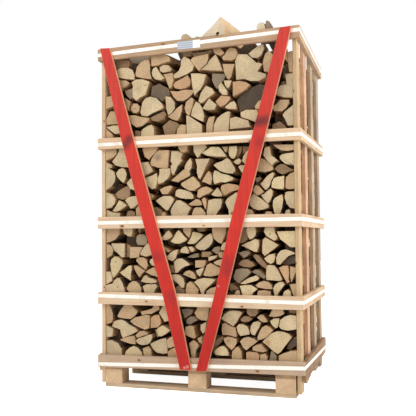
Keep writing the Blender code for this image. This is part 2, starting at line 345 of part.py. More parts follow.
# third bay
THIRD_BAY_LOGS = {
    "corner_orange": ((105, 229), (119.5, 229), (118.5, 235), (115, 239.5), (110.5, 241.5), (105, 242.5)),
    "hang_down": ((121, 228.5), (132.5, 228.5), (132.5, 233), (130.5, 236.5), (127.5, 235.8), (124, 233.5)),
    "tiny_top": ((135, 229), (141, 229), (138, 233.3)),
    "olive": ((135.5, 236), (138, 234.2), (143, 234.5), (145.5, 238), (146, 244), (142, 245.3), (136.5, 244.8),
        (135, 241)),
    "left_oval": ((104.5, 245), (108, 244), (111.5, 246), (113.3, 250), (112, 255), (109, 258.5), (104.5, 259)),
    "pale_square": ((111.5, 243.5), (115, 243.5), (124.3, 243.7), (124.5, 257), (121.5, 257.2), (118, 253.3),
        (114.5, 250.5), (112.7, 247)),
    "side_strip": ((125.6, 245), (128.6, 245.5), (128.2, 257), (125.4, 257)),
    "tan_wide": ((130, 247), (139, 247), (142.5, 247.5), (139.5, 252.5), (138.5, 257.3), (130, 258)),
    "lean_triangle": ((143.5, 247.8), (147, 243.5), (150, 245.5), (153, 250.5), (152.5, 254.5), (146, 256.5),
        (141, 255), (140.3, 252.7)),
    "egg": ((110.5, 264), (111.5, 259.5), (115, 256.5), (119, 257.5), (122.3, 260.5), (122.5, 264), (120, 269),
        (116.5, 274), (113, 278), (111.5, 273)),
    "round_top": ((136, 259.3), (139, 257.3), (143, 257.5), (146.5, 260.5), (147.5, 265), (145.5, 269.5),
        (143, 268), (139, 264.5), (136.3, 261.5)),
    "round_low": ((133.5, 266), (136, 265.5), (139, 267.5), (143, 270), (144.5, 270.7), (141, 274),
        (138.7, 277.5), (136.5, 274), (134.5, 270)),
    "kite": ((119.5, 272.5), (124, 269.5), (128, 266), (131, 265.5), (131.3, 270), (130.5, 275), (130.5, 280.5),
        (127, 278.5), (122, 275)),
    "left_low": ((104.5, 271), (108, 271.5), (110.5, 272), (112, 277), (112, 281), (109.5, 284.5),
        (104.5, 286)),
    "dome_knot": ((106.5, 288), (110, 285.3), (113, 283.5), (114.5, 280.5), (117.5, 278), (120, 278.5),
        (122.3, 282), (124, 287), (126, 293), (119, 293), (110, 293)),
    "dome_rings": ((127, 288), (129.5, 283.5), (133, 281), (136.5, 281.5), (139.5, 284), (141, 287.5),
        (141, 292.5), (135, 292.5), (127.5, 290)),
    "low_round": ((142.5, 286.5), (146, 284.5), (151, 284.5), (155, 284), (157, 286.5), (155, 289.5),
        (151.5, 292), (146.5, 291.5), (143.5, 289.5)),
    "slab_grey": ((140.5, 281.5), (143, 277), (145.5, 275), (148, 277.5), (152, 278.5), (156, 280.5),
        (156.5, 282.5), (151, 283.3), (145, 282.8)),
    "behind_tri": ((145.5, 272), (149, 269.5), (154, 267), (158, 277), (151, 275)),
    "behind_up": ((149.5, 262), (151, 259), (154, 258), (157, 266), (152, 265.5)),
    "top_lens": ((161, 238), (164, 235.5), (167, 231.5), (169, 230.5), (171, 233), (172.5, 236), (170, 238.5),
        (166, 240), (162.5, 240)),
    "narrow": ((163, 246.5), (167, 248.5), (170, 251), (168, 252.5), (165, 250.5)),
    "fan_top": ((170.5, 241.5), (173.5, 237.5), (176, 233), (178.5, 230), (181, 232.5), (184.5, 236.7),
        (187, 239), (184.5, 241.5), (180, 243.5), (175, 243.5)),
    "top_tri": ((182, 229), (191.5, 228.5), (190.5, 233), (189, 237.7), (186, 235), (183.5, 232)),
    "wedge_top": ((192, 232), (195, 232), (200, 233.5), (202.5, 235), (199.5, 239), (196, 242.5), (193.5, 244),
        (190, 244), (187, 243.5), (189.3, 240), (191, 236)),
    "big_diagonal": ((195, 246.5), (198, 243), (202, 239.5), (206, 236), (210.3, 233.5), (212, 236),
        (212.5, 240), (211.5, 243.5), (208, 247.5), (204, 250), (200, 250), (197, 248.5)),
    "top_right_tri": ((211.3, 229), (226, 228.5), (225, 234), (222.5, 240), (221, 243.5), (217.5, 242),
        (213.5, 238.5), (212.3, 234)),
    "top_thin": ((193, 228.5), (206, 228.5), (203.5, 231), (197, 231.5)),
    "pair_left": ((180.5, 250.5), (182, 248), (185, 246.5), (187, 247.5), (188.8, 250.5), (188.3, 253.5),
        (184, 253), (181, 252.5)),
    "pair_right": ((188.5, 247), (191, 246.5), (193.5, 248), (194, 250), (192, 252), (190, 250.3)),
    "grey_dome": ((211, 250.5), (213.5, 247.5), (217, 246.5), (220, 248), (218.5, 251.5), (216, 254.5),
        (213.5, 252.5)),
    "behind_pink": ((220.8, 247), (222.5, 243.5), (227, 241), (226, 250), (221, 250.5)),
    "dim_flat": ((201, 251.8), (209, 251.8), (211, 254), (207.5, 257), (201, 257)),
    "slab_mid": ((186, 257.5), (189, 255.5), (194, 253.5), (197, 253.5), (197.5, 257), (192, 258)),
    "tiny_green": ((208.3, 257), (212, 256), (217.5, 255.5), (215, 258.5), (210.5, 260.5), (208.5, 261)),
    "pink_chip": ((218.3, 253), (220.5, 251.8), (223, 253), (222, 258), (219.5, 257.5)),
    "left_fan": ((166.5, 257), (170, 253), (174, 250.5), (177.5, 249.5), (177, 254), (175.5, 258), (172.5, 261),
        (168, 259.5)),
    "big_arrow": ((173.5, 262), (176.5, 259), (181, 258.3), (184, 260), (188, 263), (189, 265), (184.5, 266.5),
        (180.5, 269), (177.5, 272.3), (175, 273), (174, 267)),
    "square_mid": ((195, 260.5), (200, 260.3), (205.5, 260.5), (205, 264.5), (203.3, 267), (199, 267.5),
        (195, 267.5)),
    "wedge_low": ((196, 270.5), (199, 269.3), (203.7, 267), (203, 270), (201, 274.5), (199.5, 276.5),
        (197, 274)),
    "big_block": ((203, 275), (205, 270), (206.5, 265.5), (210, 263.3), (215, 265.8), (219.5, 268), (221, 272),
        (216, 275.5), (210, 276.5), (205, 276)),
    "leaf_eye": ((182.5, 274.5), (185, 271.5), (189, 270.3), (192.5, 272), (195, 275.5), (195.5, 279),
        (192, 278.5), (187, 276.5)),
    "arch_low": ((171, 275), (175, 274.5), (180, 275.5), (183.5, 278.5), (184.5, 283), (183.5, 288),
        (181, 287.5), (178.5, 284), (173, 280)),
    "fan_big": ((194, 282.5), (197.5, 279.5), (203, 278), (210, 278.5), (215, 280), (211.5, 283.5),
        (207, 287.5), (204, 291), (202.5, 292.5), (199.5, 289), (197, 285.5)),
    "low_tan": ((186, 290), (187, 284), (190, 281.7), (193.7, 284), (196.5, 287.5), (198.5, 290), (196, 293),
        (186.5, 294.5)),
    "low_brown": ((174.5, 288), (178, 285.3), (180.7, 288.5), (183.5, 290), (184.3, 294.5), (175, 294.5)),
    "low_small": ((206.5, 291), (210, 288.5), (216, 287), (215, 294.5), (205, 294.5)),
    "behind_right": ((213.5, 262.5), (218, 260), (223, 259), (221, 266), (216, 264.5)),
    "side_by_brace": ((169, 266), (173, 265), (173.3, 273), (170, 273)),
    "top_round": ((246, 231), (248, 228), (254, 228), (255.8, 232), (255, 236), (252.5, 238.5), (249.5, 239.5),
        (247.5, 236.5)),
    "top_strip": ((239, 236), (242.5, 228), (245.2, 229), (247, 238.5), (244, 241.7), (239.5, 243)),
    "eye_top": ((264, 231.5), (267.5, 228), (273, 228), (275, 233), (277.2, 236.5), (276.3, 239.5),
        (274, 240.5), (270, 238), (266.5, 236)),
    "corner_big": ((277, 231.5), (293, 231), (293.3, 247), (290, 247), (286, 243.5), (280.5, 239.3),
        (278.5, 235.5)),
    "kite_left": ((241, 245.5), (246, 243), (251, 241), (255, 239), (258.5, 240.5), (258.5, 246), (256.5, 252),
        (253.5, 251.5), (248, 248.5)),
    "kite_right": ((262.5, 240), (265, 237.5), (268, 239), (273, 242), (278, 245), (275.5, 247.5), (270, 251.5),
        (264.5, 256), (262, 253), (262, 246)),
    "grey_small": ((238, 253), (243, 251), (247.5, 251.5), (249, 253), (245.5, 256.5), (243, 258),
        (240.5, 255.5)),
    "pink_tri": ((264, 258.5), (268.5, 255), (274.5, 253.5), (275, 257.5), (273.5, 262), (270.5, 264),
        (266.5, 261.7)),
    "dome_right": ((276, 258), (278, 253.5), (281, 250.5), (286, 249.5), (290.5, 251), (292.5, 253.5),
        (288, 256), (283.5, 260.5), (280, 264.5), (276.5, 264)),
    "dark_under": ((281.5, 263.7), (285, 260.3), (289.5, 256.8), (293, 255), (293, 263), (286, 265)),
    "brown_mid": ((238, 263.5), (242, 260), (247, 259.5), (251, 262), (254, 265.5), (250, 267.5), (243.5, 267),
        (239, 265.5)),
    "grey_square": ((233, 277), (235, 270), (241, 268.5), (247, 269), (250, 272.5), (247, 276), (242, 280),
        (238, 283.5), (234, 280)),
    "purple_slim": ((251.2, 272), (254, 270), (257, 269.7), (261.5, 273.3), (264.8, 276.5), (263.5, 279.5),
        (259, 276.5), (254, 274)),
    "slab_pale": ((240.5, 283.5), (245, 280.3), (250, 277.5), (256, 275.5), (258.5, 277.5), (258, 280),
        (252, 282), (245, 284)),
    "long_diagonal": ((252, 256), (255, 254.5), (258, 256), (261.5, 260), (265.7, 264.5), (265.3, 269),
        (262, 267), (257, 262.5), (254.5, 259.5)),
    "big_post": ((266.3, 266), (269, 265), (274, 265.5), (277, 269), (280, 275), (282, 280), (279, 281),
        (274, 280.5), (266, 280), (265.8, 275)),
    "right_orange": ((279, 268), (283, 266), (288, 266), (289, 272), (288.5, 279), (289.5, 282), (287, 283),
        (284, 277.5), (281, 272)),
    "right_sliver": ((289.8, 266.5), (292.8, 268), (292.8, 272), (291, 282.5), (289.7, 276)),
    "fan_low": ((240, 286), (246, 285), (251, 285), (256, 288), (257, 289.5), (253, 292.5), (249, 295),
        (244, 295.5), (241.5, 290.5)),
    "dome_low": ((255.5, 285.5), (259, 282.5), (264, 281), (268, 282), (271.5, 285.5), (272, 289.2), (266, 289),
        (258, 287.5)),
    "oval_low": ((273, 288), (275, 284.5), (278.5, 282.3), (282.5, 282), (284.5, 284.5), (281.5, 288.5),
        (278, 293), (275.5, 294.5), (273.5, 291.5)),
    "flat_low": ((255, 295.5), (258, 291), (264, 290.5), (270, 291.5), (271.5, 296), (262, 297)),
    "low_right": ((281, 297), (284, 291.5), (288, 289.5), (290.5, 292), (291.5, 297)),
    "right_edge": ((289.5, 284.5), (292.8, 284), (292.8, 294), (291.5, 291)),
    "low_chip": ((231, 292.5), (236, 290.7), (239, 290), (240.5, 296), (232, 296)),
    "brown_wedge": ((229, 284), (234, 285.5), (238, 289), (234, 290.3), (229, 291)),
}

# lowest bay, down to the deck
LOW_BAY_LOGS = {
    "edge_oval": ((105, 306), (108.5, 305), (111.5, 308.5), (113, 313), (113, 318), (111.5, 322.5),
        (110, 324.3), (107.5, 321.5), (105, 318)),
    "wedge_top": ((117, 316), (119.5, 311.5), (122.5, 307), (127, 305), (133, 307.5), (137, 310.5), (137, 313),
        (134, 316.5), (130, 319), (124, 318.5), (118.5, 317.5)),
    "top_flat": ((140.5, 311.5), (146, 310.5), (152, 308.5), (157.5, 306), (159, 309.5), (155, 311.5),
        (151, 314), (146, 314), (142, 315.3)),
    "long_right": ((158.5, 313), (160.5, 309.5), (166, 305), (169, 313), (169.5, 320), (164, 322),
        (161.5, 317.5)),
    "big_tan": ((130.5, 321), (135, 317.5), (141, 316.3), (146, 314.8), (149.5, 316), (149.5, 322), (149, 328),
        (145, 329.5), (140, 327.5), (134, 324.5)),
    "tan_block": ((150.5, 318), (154, 315.5), (158.5, 315), (160, 319.5), (160.5, 324), (157, 327.5),
        (150.5, 328)),
    "big_pale": ((112, 326.5), (114, 321.5), (118, 320), (121, 319.5), (125, 321), (129, 324.5), (134, 327),
        (137.5, 331), (132, 334), (127, 336), (122.5, 338), (120.5, 333), (120, 329.5), (116, 328)),
    "pale_square": ((106.5, 324), (110, 325.7), (113, 328.5), (113, 333), (112, 336.5), (106.5, 337)),
    "tri_low": ((119.5, 340), (123.5, 338.2), (128.5, 336.7), (133.5, 336), (134.5, 340), (134.7, 344.5),
        (130, 344), (124, 342)),
    "big_low_left": ((108.5, 341), (112, 340.5), (118, 343.5), (121, 348.5), (121.5, 357), (109, 357)),
    "slab_small": ((135, 335.5), (139, 331.5), (143.5, 331), (147.5, 333.3), (147, 334.8), (142, 336.2),
        (137, 338.2)),
    "oval_pale": ((136, 340.5), (139, 338.3), (144, 336.7), (149, 334.7), (152, 334.5), (152.3, 338),
        (150.5, 342), (147.5, 344.5), (142, 345), (138.5, 343.5)),
    "lean_small": ((153.5, 330), (155.7, 330.5), (157.7, 336.7), (156, 338)),
    "pale_hex": ((156.2, 330), (158.5, 327.7), (162, 325.5), (166, 327.5), (170, 330.5), (165.5, 334),
        (161, 336.5), (158.3, 336)),
    "big_square": ((150, 344), (154, 342), (160, 339.5), (165.5, 338.5), (166.3, 343), (167, 353.5), (162, 354),
        (156, 352.5), (152.5, 349)),
    "dome_big": ((123.5, 357), (126, 351), (130, 347.5), (134, 346), (138, 348), (141.5, 352), (143.3, 357)),
    "low_centre": ((143, 348.5), (148.5, 346.5), (151, 350), (152.5, 357), (145, 357)),
    "behind_left": ((167, 340), (170, 337.5), (175, 335), (178, 345), (171, 347.5), (168, 348)),
    "behind_left_low": ((168, 352), (171, 349.3), (178, 346.5), (181, 356), (168.5, 354.5)),
    "between_top": ((180, 310), (186, 309), (191.5, 310), (191, 313.5), (187.5, 316.3), (183, 318.5)),
    "between_mid": ((185, 323.5), (186, 319.5), (189, 317), (193, 317), (197, 320.5), (192.5, 322.5),
        (189, 325)),
    "between_square": ((184.5, 334.5), (185.5, 327), (190, 326), (193.5, 326.5), (194.5, 331), (196, 337),
        (194, 338.5), (190, 337)),
    "oval_top": ((194.5, 313), (196.5, 309.5), (200, 307.5), (205, 308), (210, 308), (207, 320.5), (201, 320),
        (197, 318)),
    "behind_right": ((200.5, 325), (206, 322), (205, 331), (203, 334), (200.5, 330)),
    "between_low": ((189, 343.5), (193, 340.5), (196.5, 343), (198.5, 346), (196, 349.5), (195.5, 354),
        (193, 355.5), (190.5, 351)),
    "chip_right": ((197, 338.5), (201.5, 336.5), (201.5, 344), (198.5, 342)),
    "big_dome": ((221.5, 318.5), (224, 315), (228, 311.5), (233, 310.5), (238, 311), (242, 312.5), (239, 317.5),
        (236.5, 322), (233, 326), (229, 323.3), (225, 321)),
    "square_below": ((221.5, 330), (222, 324.5), (225, 323), (230, 326.3), (235, 328), (236, 334),
        (235.5, 337.3), (229, 335.3), (222, 335)),
    "curve_strip": ((212, 345), (217, 339), (221.5, 336.5), (222.5, 338), (220.5, 342), (217, 346.5),
        (212.5, 350)),
    "dome_low": ((214.5, 352), (216.5, 348.7), (220, 346.5), (223.5, 346), (226.5, 348.5), (228.5, 352.5),
        (228.5, 355.5), (222, 355.5), (216, 354.5)),
    "wedge_mid": ((223.5, 338.5), (228, 337), (233, 338), (236.3, 339.5), (236.3, 343.5), (234.5, 347),
        (231.5, 350), (227, 346), (224.5, 342)),
    "right_of_dome": ((232, 351.5), (235, 348.2), (238, 347), (241, 352), (242.5, 360), (232, 360)),
    "top_brown": ((246, 309.5), (258, 309), (257, 314), (254.5, 316.5), (250, 316.5), (246.5, 313.5)),
    "lens_brown": ((240, 319.5), (243, 316.7), (248, 317), (251.5, 319.5), (248, 322), (244, 322.5),
        (240.5, 321.5)),
    "round_square": ((236.5, 327), (238.5, 324.5), (243, 324.5), (247, 326.5), (249, 331), (249, 334.5),
        (244, 335.5), (240, 336), (237.5, 332)),
    "barrel": ((250.5, 326.5), (253, 322.5), (257, 321.5), (260.5, 323), (259, 327.5), (256.5, 331.5),
        (254.5, 335.5), (251.5, 334.5), (250, 331)),
    "small_wedge": ((257, 317.5), (260, 315), (263, 315), (266, 319), (267.5, 322), (263.5, 322.5),
        (260, 320.5)),
    "kite_mid": ((240, 341.5), (243.5, 338), (248, 337), (252.5, 338.5), (257, 341.5), (254, 344.3), (250, 347),
        (246, 350.5), (243, 347.5)),
    "fan_low": ((253, 347), (257, 344.7), (261, 344.5), (264, 348.5), (266.5, 351.3), (263, 352.3),
        (257, 351.3), (252.5, 350)),
    "low_orange": ((246, 353), (250, 352), (256, 352.3), (259, 355), (258, 360), (246, 360)),
    "lean_grey": ((257.5, 337), (259.5, 332), (262, 327.5), (266, 325.5), (270, 327.5), (273, 330.3),
        (270, 333.5), (265.5, 337.7), (261.5, 339.5), (258, 340)),
    "big_log": ((262.5, 342), (266, 338), (271, 333.5), (277, 331.5), (283, 332), (288, 334), (291.5, 337.5),
        (288.5, 341.5), (284, 347), (280.5, 352), (277.5, 354), (273.5, 351.5), (268, 346.5)),
    "bark_right": ((289, 343), (293, 338.5), (294.5, 338.5), (294.5, 345), (289.5, 350.3), (287, 349),
        (285.5, 350)),
    "up_pale": ((270, 321), (274, 318.5), (279.3, 318.5), (279, 322.5), (277.5, 327.3), (275.5, 328.3),
        (272, 325)),
    "up_big": ((280.5, 320), (285, 316.5), (290, 315), (293.5, 316), (293.5, 323), (293, 329), (288, 330.5),
        (281.5, 329), (279.3, 326.5)),
    "top_tan": ((269, 316), (271, 312.5), (276, 310.5), (281, 311), (284, 314), (280, 316), (274, 317)),
    "corner_top": ((286.5, 310), (293.5, 310), (293.5, 314), (289, 313)),
    "low_grey": ((270.5, 352), (273, 352.5), (276, 356), (276, 360), (267, 360)),
    "low_corner": ((279, 356), (284, 353.3), (290, 351.3), (294.5, 350.8), (294.5, 360), (279, 360)),
    "low_mid": ((260, 355), (265, 354), (267, 357.5), (266, 360), (260, 360)),
}

# logs further back in the front row that close off dark gaps under the top rail, read off at this depth
DEEP_Y = 90.0
DEEP_LOGS = {
    "over_dog_bone": ((235.5, 50), (241, 48), (246, 43), (253, 41), (254.5, 45.5), (250, 52), (245, 56), (236, 55)),
    "behind_right_brace": ((268, 41), (281, 40), (281.5, 54), (276.5, 55), (272.5, 50.5), (270, 46)),
    "behind_triangle": ((218, 53), (226.5, 53.5), (228, 61), (226, 66), (219.5, 64)),
    "behind_small_ends": ((130, 64), (136, 62.5), (136.5, 68), (133, 71)),
}

# how near a rail or a side slat a corner may be to be carried on behind it, and how far apart logs keep there
EDGE_REACH = 11.5
SIDE_REACH = 18.5
LEFT_LOG_EDGE = -551.0
MEETING_GAP = 3.0
# daylight shows through the front row here, between its top and the top rail: x from and to
OPEN_TOPS = ((-425.0, -262.0), (-180.0, -82.0), (330.0, 560.0))
# the stack is lower where the loose wedge lies: x from and to, and how high it may reach
WEDGE_BED = (-10.0, 300.0, 1896.0)


def log_outline(form, steps):
    """One log end about its pith, radius one, going round one way."""
    share, angle, cut, radius = LOG_FORMS[form]
    spread = math.radians(angle)
    if form == "round":
        count = steps * 2
        return [(math.sin(2 * math.pi * i / count), math.cos(2 * math.pi * i / count)) for i in range(count)]
    if form == "four_sided":
        return [(-0.95, -0.62), (-0.62, 0.72), (0.80, 0.88), (1.05, -0.55)]
    if form == "three_sided":
        return [(-1.0, -0.75), (-0.15, 1.05), (1.1, -0.6)]
    if form == "slab":
        spread = 2 * math.acos(cut)
    angles = [-spread / 2 + spread * i / steps for i in range(steps + 1)]
    points = [(math.sin(a), math.cos(a)) for a in angles]
    if form == "trimmed":
        side = math.sin(spread / 2) * cut
        rise = math.cos(spread / 2) * cut
        points += [(side, rise), (-side, rise)]
    elif form not in ("slab", "half"):
        points += [(0.0, 0.0)]
    return points


def turned_outline(log, steps):
    """A log's outline turned and sized, still about its own pith."""
    c = math.cos(log["turn"])
    s = math.sin(log["turn"])
    points = []
    for x, z in log_outline(log["form"], steps):
        x = x * log["wide"] * log["flip"]
        z = z * log["tall"]
        points.append((x * c - z * s, x * s + z * c))
    return points


def edge_heights(points):
    """The outline's lower and upper edge over columns of the stack."""
    xs = [p[0] for p in points]
    first = min(xs)
    last = max(xs)
    count = max(2, int(math.ceil((last - first) / CELL)))
    columns = np.minimum(first + (np.arange(count) + 0.5) * CELL, last - 1e-6)
    low = np.full(count, 1e9)
    high = np.full(count, -1e9)
    for (xa, za), (xb, zb) in zip(points, points[1:] + points[:1]):
        if abs(xa - xb) < 1e-9:
            continue
        inside = (columns >= min(xa, xb)) & (columns <= max(xa, xb))
        z = za + (zb - za) * (columns - xa) / (xb - xa)
        low = np.where(inside, np.minimum(low, z), low)
        high = np.where(inside, np.maximum(high, z), high)
    return first, low, high


def stack_limit(row, x):
    """How high a row may reach: the stack is lower at the top right."""
    if row == "front":
        if any(low < x < high for low, high in OPEN_TOPS):
            return 0.0
        if WEDGE_BED[0] < x < WEDGE_BED[1]:
            return WEDGE_BED[2]
        return 1930.0
    if row == "middle" and x > 310.0:
        return 1885.0
    if x > 300.0:
        return 1900.0
    return 1925.0


def on_log_ends(picture_x, picture_y, depth=LOG_ENDS_Y):
    """The place on the front row's log ends that the picture shows at a spot."""
    turn = math.radians(VIEW_TURN)
    rise = math.radians(VIEW_RISE)
    roll = math.radians(VIEW_ROLL)
    ahead = np.array((math.sin(turn) * math.cos(rise), math.cos(turn) * math.cos(rise), math.sin(rise)))
    across = np.array((math.cos(turn), -math.sin(turn), 0.0))
    upward = np.cross(across, ahead)
    right = math.cos(roll) * across + math.sin(roll) * upward
    up = -math.sin(roll) * across + math.cos(roll) * upward
    ray = ahead + right * (picture_x - PICTURE_MIDDLE) / VIEW_REACH + up * (PICTURE_MIDDLE - picture_y) / VIEW_REACH
    reach = (depth - VIEW_SPOT[1]) / ray[1]
    return VIEW_SPOT[0] + ray[0] * reach - CENTRE_X, VIEW_SPOT[2] + ray[2] * reach


def drop_logs(rng, surface, limit, logs):
    """Drops split logs one by one to where each lies lowest and tightest."""
    count = len(surface)
    forms = list(LOG_FORMS)
    shares = [LOG_FORMS[name][0] for name in forms]
    misses = 0
    while misses < 12:
        best = None
        growth = 1.16 if surface.min() > 1400.0 else 1.0
        for attempt in range(5):
            form = rng.choices(forms, shares)[0]
            size = growth * LOG_FORMS[form][3] * min(1.6, max(0.62, rng.lognormvariate(0.0, 0.22)))
            wide = size * rng.uniform(0.85, 1.15)
            tall = size * rng.uniform(0.85, 1.10)
            if misses > 4:
                wide *= 0.66
                tall *= 0.66
            flip = rng.choice((-1, 1))
            turn = rng.uniform(0.0, 2 * math.pi)
            for twelfth in range(12):
                log = {"form": form, "turn": turn + twelfth * math.pi / 6, "wide": wide, "tall": tall, "flip": flip}
                first, low, high = edge_heights(turned_outline(log, 4))
                span = len(low)
                windows = np.lib.stride_tricks.sliding_window_view(surface, span)
                rest = (windows - low).max(axis=1)
                spare = np.minimum(rest[:, None] + low - windows, 34.0).sum(axis=1)
                room = np.lib.stride_tricks.sliding_window_view(limit, span)
                fits = (rest[:, None] + high <= room).all(axis=1)
                to_left = np.arange(len(rest)) * CELL
                to_right = (count - span) * CELL - to_left
                cost = rest + high.max() * 0.35 + 2.2 * spare / span
                cost = cost + np.where((to_left > 0) & (to_left < 30), 14.0, 0.0)
                cost = cost + np.where((to_right > 0) & (to_right < 30), 14.0, 0.0)
                cost = np.where(fits, cost, 1e9)
                place = int(np.argmin(np.round(cost, 2)))
                if cost[place] < 1e8 and (best is None or cost[place] < best[0]):
                    log["x"] = place * CELL - STACK_WIDTH / 2 - first
                    log["z"] = float(rest[place])
                    best = (float(cost[place]), log, place, low, high)
        if best is None:
            misses += 1
            continue
        cost, log, place, low, high = best
        log["points"] = [(x + log["x"], z + log["z"]) for x, z in turned_outline(log, 2 if log["form"] != "round" else 3)]
        logs.append(log)
        covered = surface[place:place + len(low)]
        surface[place:place + len(low)] = np.maximum(covered, log["z"] + high + LOG_GAP)


def rail_edge(level, upper, x):
    """Height of a front rail's lower or upper edge at X from the middle."""
    left_end, right_end = FRONT_RAILS[level]
    share = (x + CENTRE_X) / CRATE_WIDTH
    return left_end[upper] * (1 - share) + right_end[upper] * share


def behind_rail(bay, x, z):
    """Carries a corner that touches a rail or a side slat on behind it, as the log does."""
    side = STACK_WIDTH / 2 - 1.0
    if x > side - SIDE_REACH:
        x = side
    if x < SIDE_REACH - side:
        x = LEFT_LOG_EDGE
    above = rail_edge(bay, 0, x)
    below = rail_edge(bay + 1, 1, x)
    if bay > 0 and z > above - EDGE_REACH:
        z = (above + rail_edge(bay, 1, x)) / 2 - MEETING_GAP
    if z < below + EDGE_REACH:
        z = (below + rail_edge(bay + 1, 0, x)) / 2 + MEETING_GAP
        if bay == 3:
            z = STACK_BASE + MEETING_GAP
    return x, z


def stack_logs(row):
    """All logs of a row, as outlines in X from the middle and Z, and the row's top surface."""
    rng = random.Random(LOG_ROWS[row]["seed"])
    count = int(STACK_WIDTH / CELL)
    xs = (np.arange(count) + 0.5) * CELL - STACK_WIDTH / 2
    surface = np.full(count, STACK_BASE)
    limit = np.array([stack_limit(row, x) for x in xs])
    logs = []
    if row == "front":
        for bay, table in enumerate((TOP_BAY_LOGS, SECOND_BAY_LOGS, THIRD_BAY_LOGS, LOW_BAY_LOGS)):
            for corners in table.values():
                points = [behind_rail(bay, *on_log_ends(x, y)) for x, y in corners]
                logs.append({"form": "measured", "points": points, "bay": bay})
        for corners in DEEP_LOGS.values():
            points = [on_log_ends(x, y, DEEP_Y) for x, y in corners]
            logs.append({"form": "deep", "points": points})
        for log in logs:
            first, low, high = edge_heights(log["points"])
            start = max(0, min(count - len(low), int(round((first + STACK_WIDTH / 2) / CELL))))
            surface[start:start + len(low)] = np.maximum(surface[start:start + len(low)], high + LOG_GAP)
    drop_logs(rng, surface, limit, logs)
    return logs, surface


def make_collection(name):
    collection = bpy.data.collections.new(name)
    bpy.context.scene.collection.children.link(collection)
    return collection


PART = make_collection(OBJECT_NAME)
CUTTERS = make_collection("cutters")

# colour, roughness and metallic value of each finish
FINISHES = {
    "sawn_softwood": ((0.68, 0.52, 0.34), 0.75, 0.0),
    "pallet_wood": ((0.62, 0.45, 0.28), 0.80, 0.0),
    "red_board": ((0.66, 0.045, 0.035), 0.60, 0.0),
    "strapping": ((0.85, 0.85, 0.83), 0.35, 0.0),
    "label_paper": ((0.66, 0.72, 0.78), 0.55, 0.0),
    "split_hornbeam": ((0.62, 0.47, 0.29), 0.85, 0.0),
}


def make_empty(name, parent=None):
    empty = bpy.data.objects.new(name, None)
    PART.objects.link(empty)
    empty.parent = parent
    return empty


CRATE = make_empty("crate")
PALLET = make_empty("pallet", CRATE)
FRAME = make_empty("slatted_frame", CRATE)
STACK = make_empty("log_stack", CRATE)


def own_material(made, finish):
    """Each piece has a material of its own, in the finish of its kind."""
    colour, roughness, metallic = FINISHES[finish]
    material = bpy.data.materials.new(made.name + "_" + finish)
    material.use_nodes = True
    shader = material.node_tree.nodes["Principled BSDF"]
    shader.inputs["Base Color"].default_value = (*colour, 1.0)
    shader.inputs["Roughness"].default_value = roughness
    shader.inputs["Metallic"].default_value = metallic
    made.data.materials.clear()
    made.data.materials.append(material)


def spot(x, y, z):
    """Stated millimetres to metres about the origin."""
    return Vector(((x - CENTRE_X) * MM, (y - CENTRE_Y) * MM, z * MM))


def add_object(name, mesh, location, finish, parent, collection=None):
    made = bpy.data.objects.new(name, mesh)
    (collection or PART).objects.link(made)
    made.location = location
    made.parent = parent
    own_material(made, finish)
    return made


def chamfer(made, width=ARRIS):
    bevel = made.modifiers.new("arris", "BEVEL")
    bevel.width = width * MM
    bevel.segments = 1
    bevel.limit_method = "ANGLE"
    bevel.angle_limit = math.radians(40)


def cube_mesh(name, size):
    """A box about its own middle, its size in millimetres."""
    mesh = bpy.data.meshes.new(name)
    bm = bmesh.new()
    bmesh.ops.create_cube(bm, size=1.0)
    bmesh.ops.scale(bm, vec=Vector(size) * MM, verts=bm.verts)
    bm.to_mesh(mesh)
    bm.free()
    return mesh


def add_board(name, xs, ys, zs, finish, parent, soften=True):
    """A plain sawn board or block."""
    size = (xs[1] - xs[0], ys[1] - ys[0], zs[1] - zs[0])
    middle = spot(sum(xs) / 2, sum(ys) / 2, sum(zs) / 2)
    made = add_object(name, cube_mesh(name, size), middle, finish, parent)
    if soften:
        chamfer(made)
    return made


def add_rail(name, xs, ys, first, last):
    """A rail along X or Y, nailed on with its two ends at their own heights."""
    along_x = xs[1] - xs[0] > ys[1] - ys[0]
    length = (xs[1] - xs[0]) if along_x else (ys[1] - ys[0])
    height = ((first[1] - first[0]) + (last[1] - last[0])) / 2
    middle = (sum(first) + sum(last)) / 4
    slope = math.atan2(sum(last) / 2 - sum(first) / 2, length)
    rail = add_board(name, xs, ys, (middle - height / 2, middle + height / 2), "sawn_softwood", FRAME)
    if along_x:
        rail.rotation_euler = (0.0, -slope, 0.0)
    else:
        rail.rotation_euler = (slope, 0.0, 0.0)
    return rail


def outline_curve(name, outline, y_front, y_back, collection):
    """A flat outline in X and Z, as thick as it is deep."""
    mid_x = sum(p[0] for p in outline) / len(outline)
    mid_z = sum(p[1] for p in outline) / len(outline)
    curve = bpy.data.curves.new(name, "CURVE")
    curve.dimensions = "2D"
    curve.fill_mode = "BOTH"
    curve.extrude = abs(y_back - y_front) / 2 * MM
    spline = curve.splines.new("POLY")
    spline.points.add(len(outline) - 1)
    for point, (x, z) in zip(spline.points, outline):
        point.co = ((x - mid_x) * MM, (z - mid_z) * MM, 0.0, 1.0)
    spline.use_cyclic_u = True
    made = bpy.data.objects.new(name, curve)
    collection.objects.link(made)
    made.location = spot(mid_x, (y_front + y_back) / 2, mid_z)
    made.rotation_euler = (math.radians(90), 0.0, 0.0)
    return made


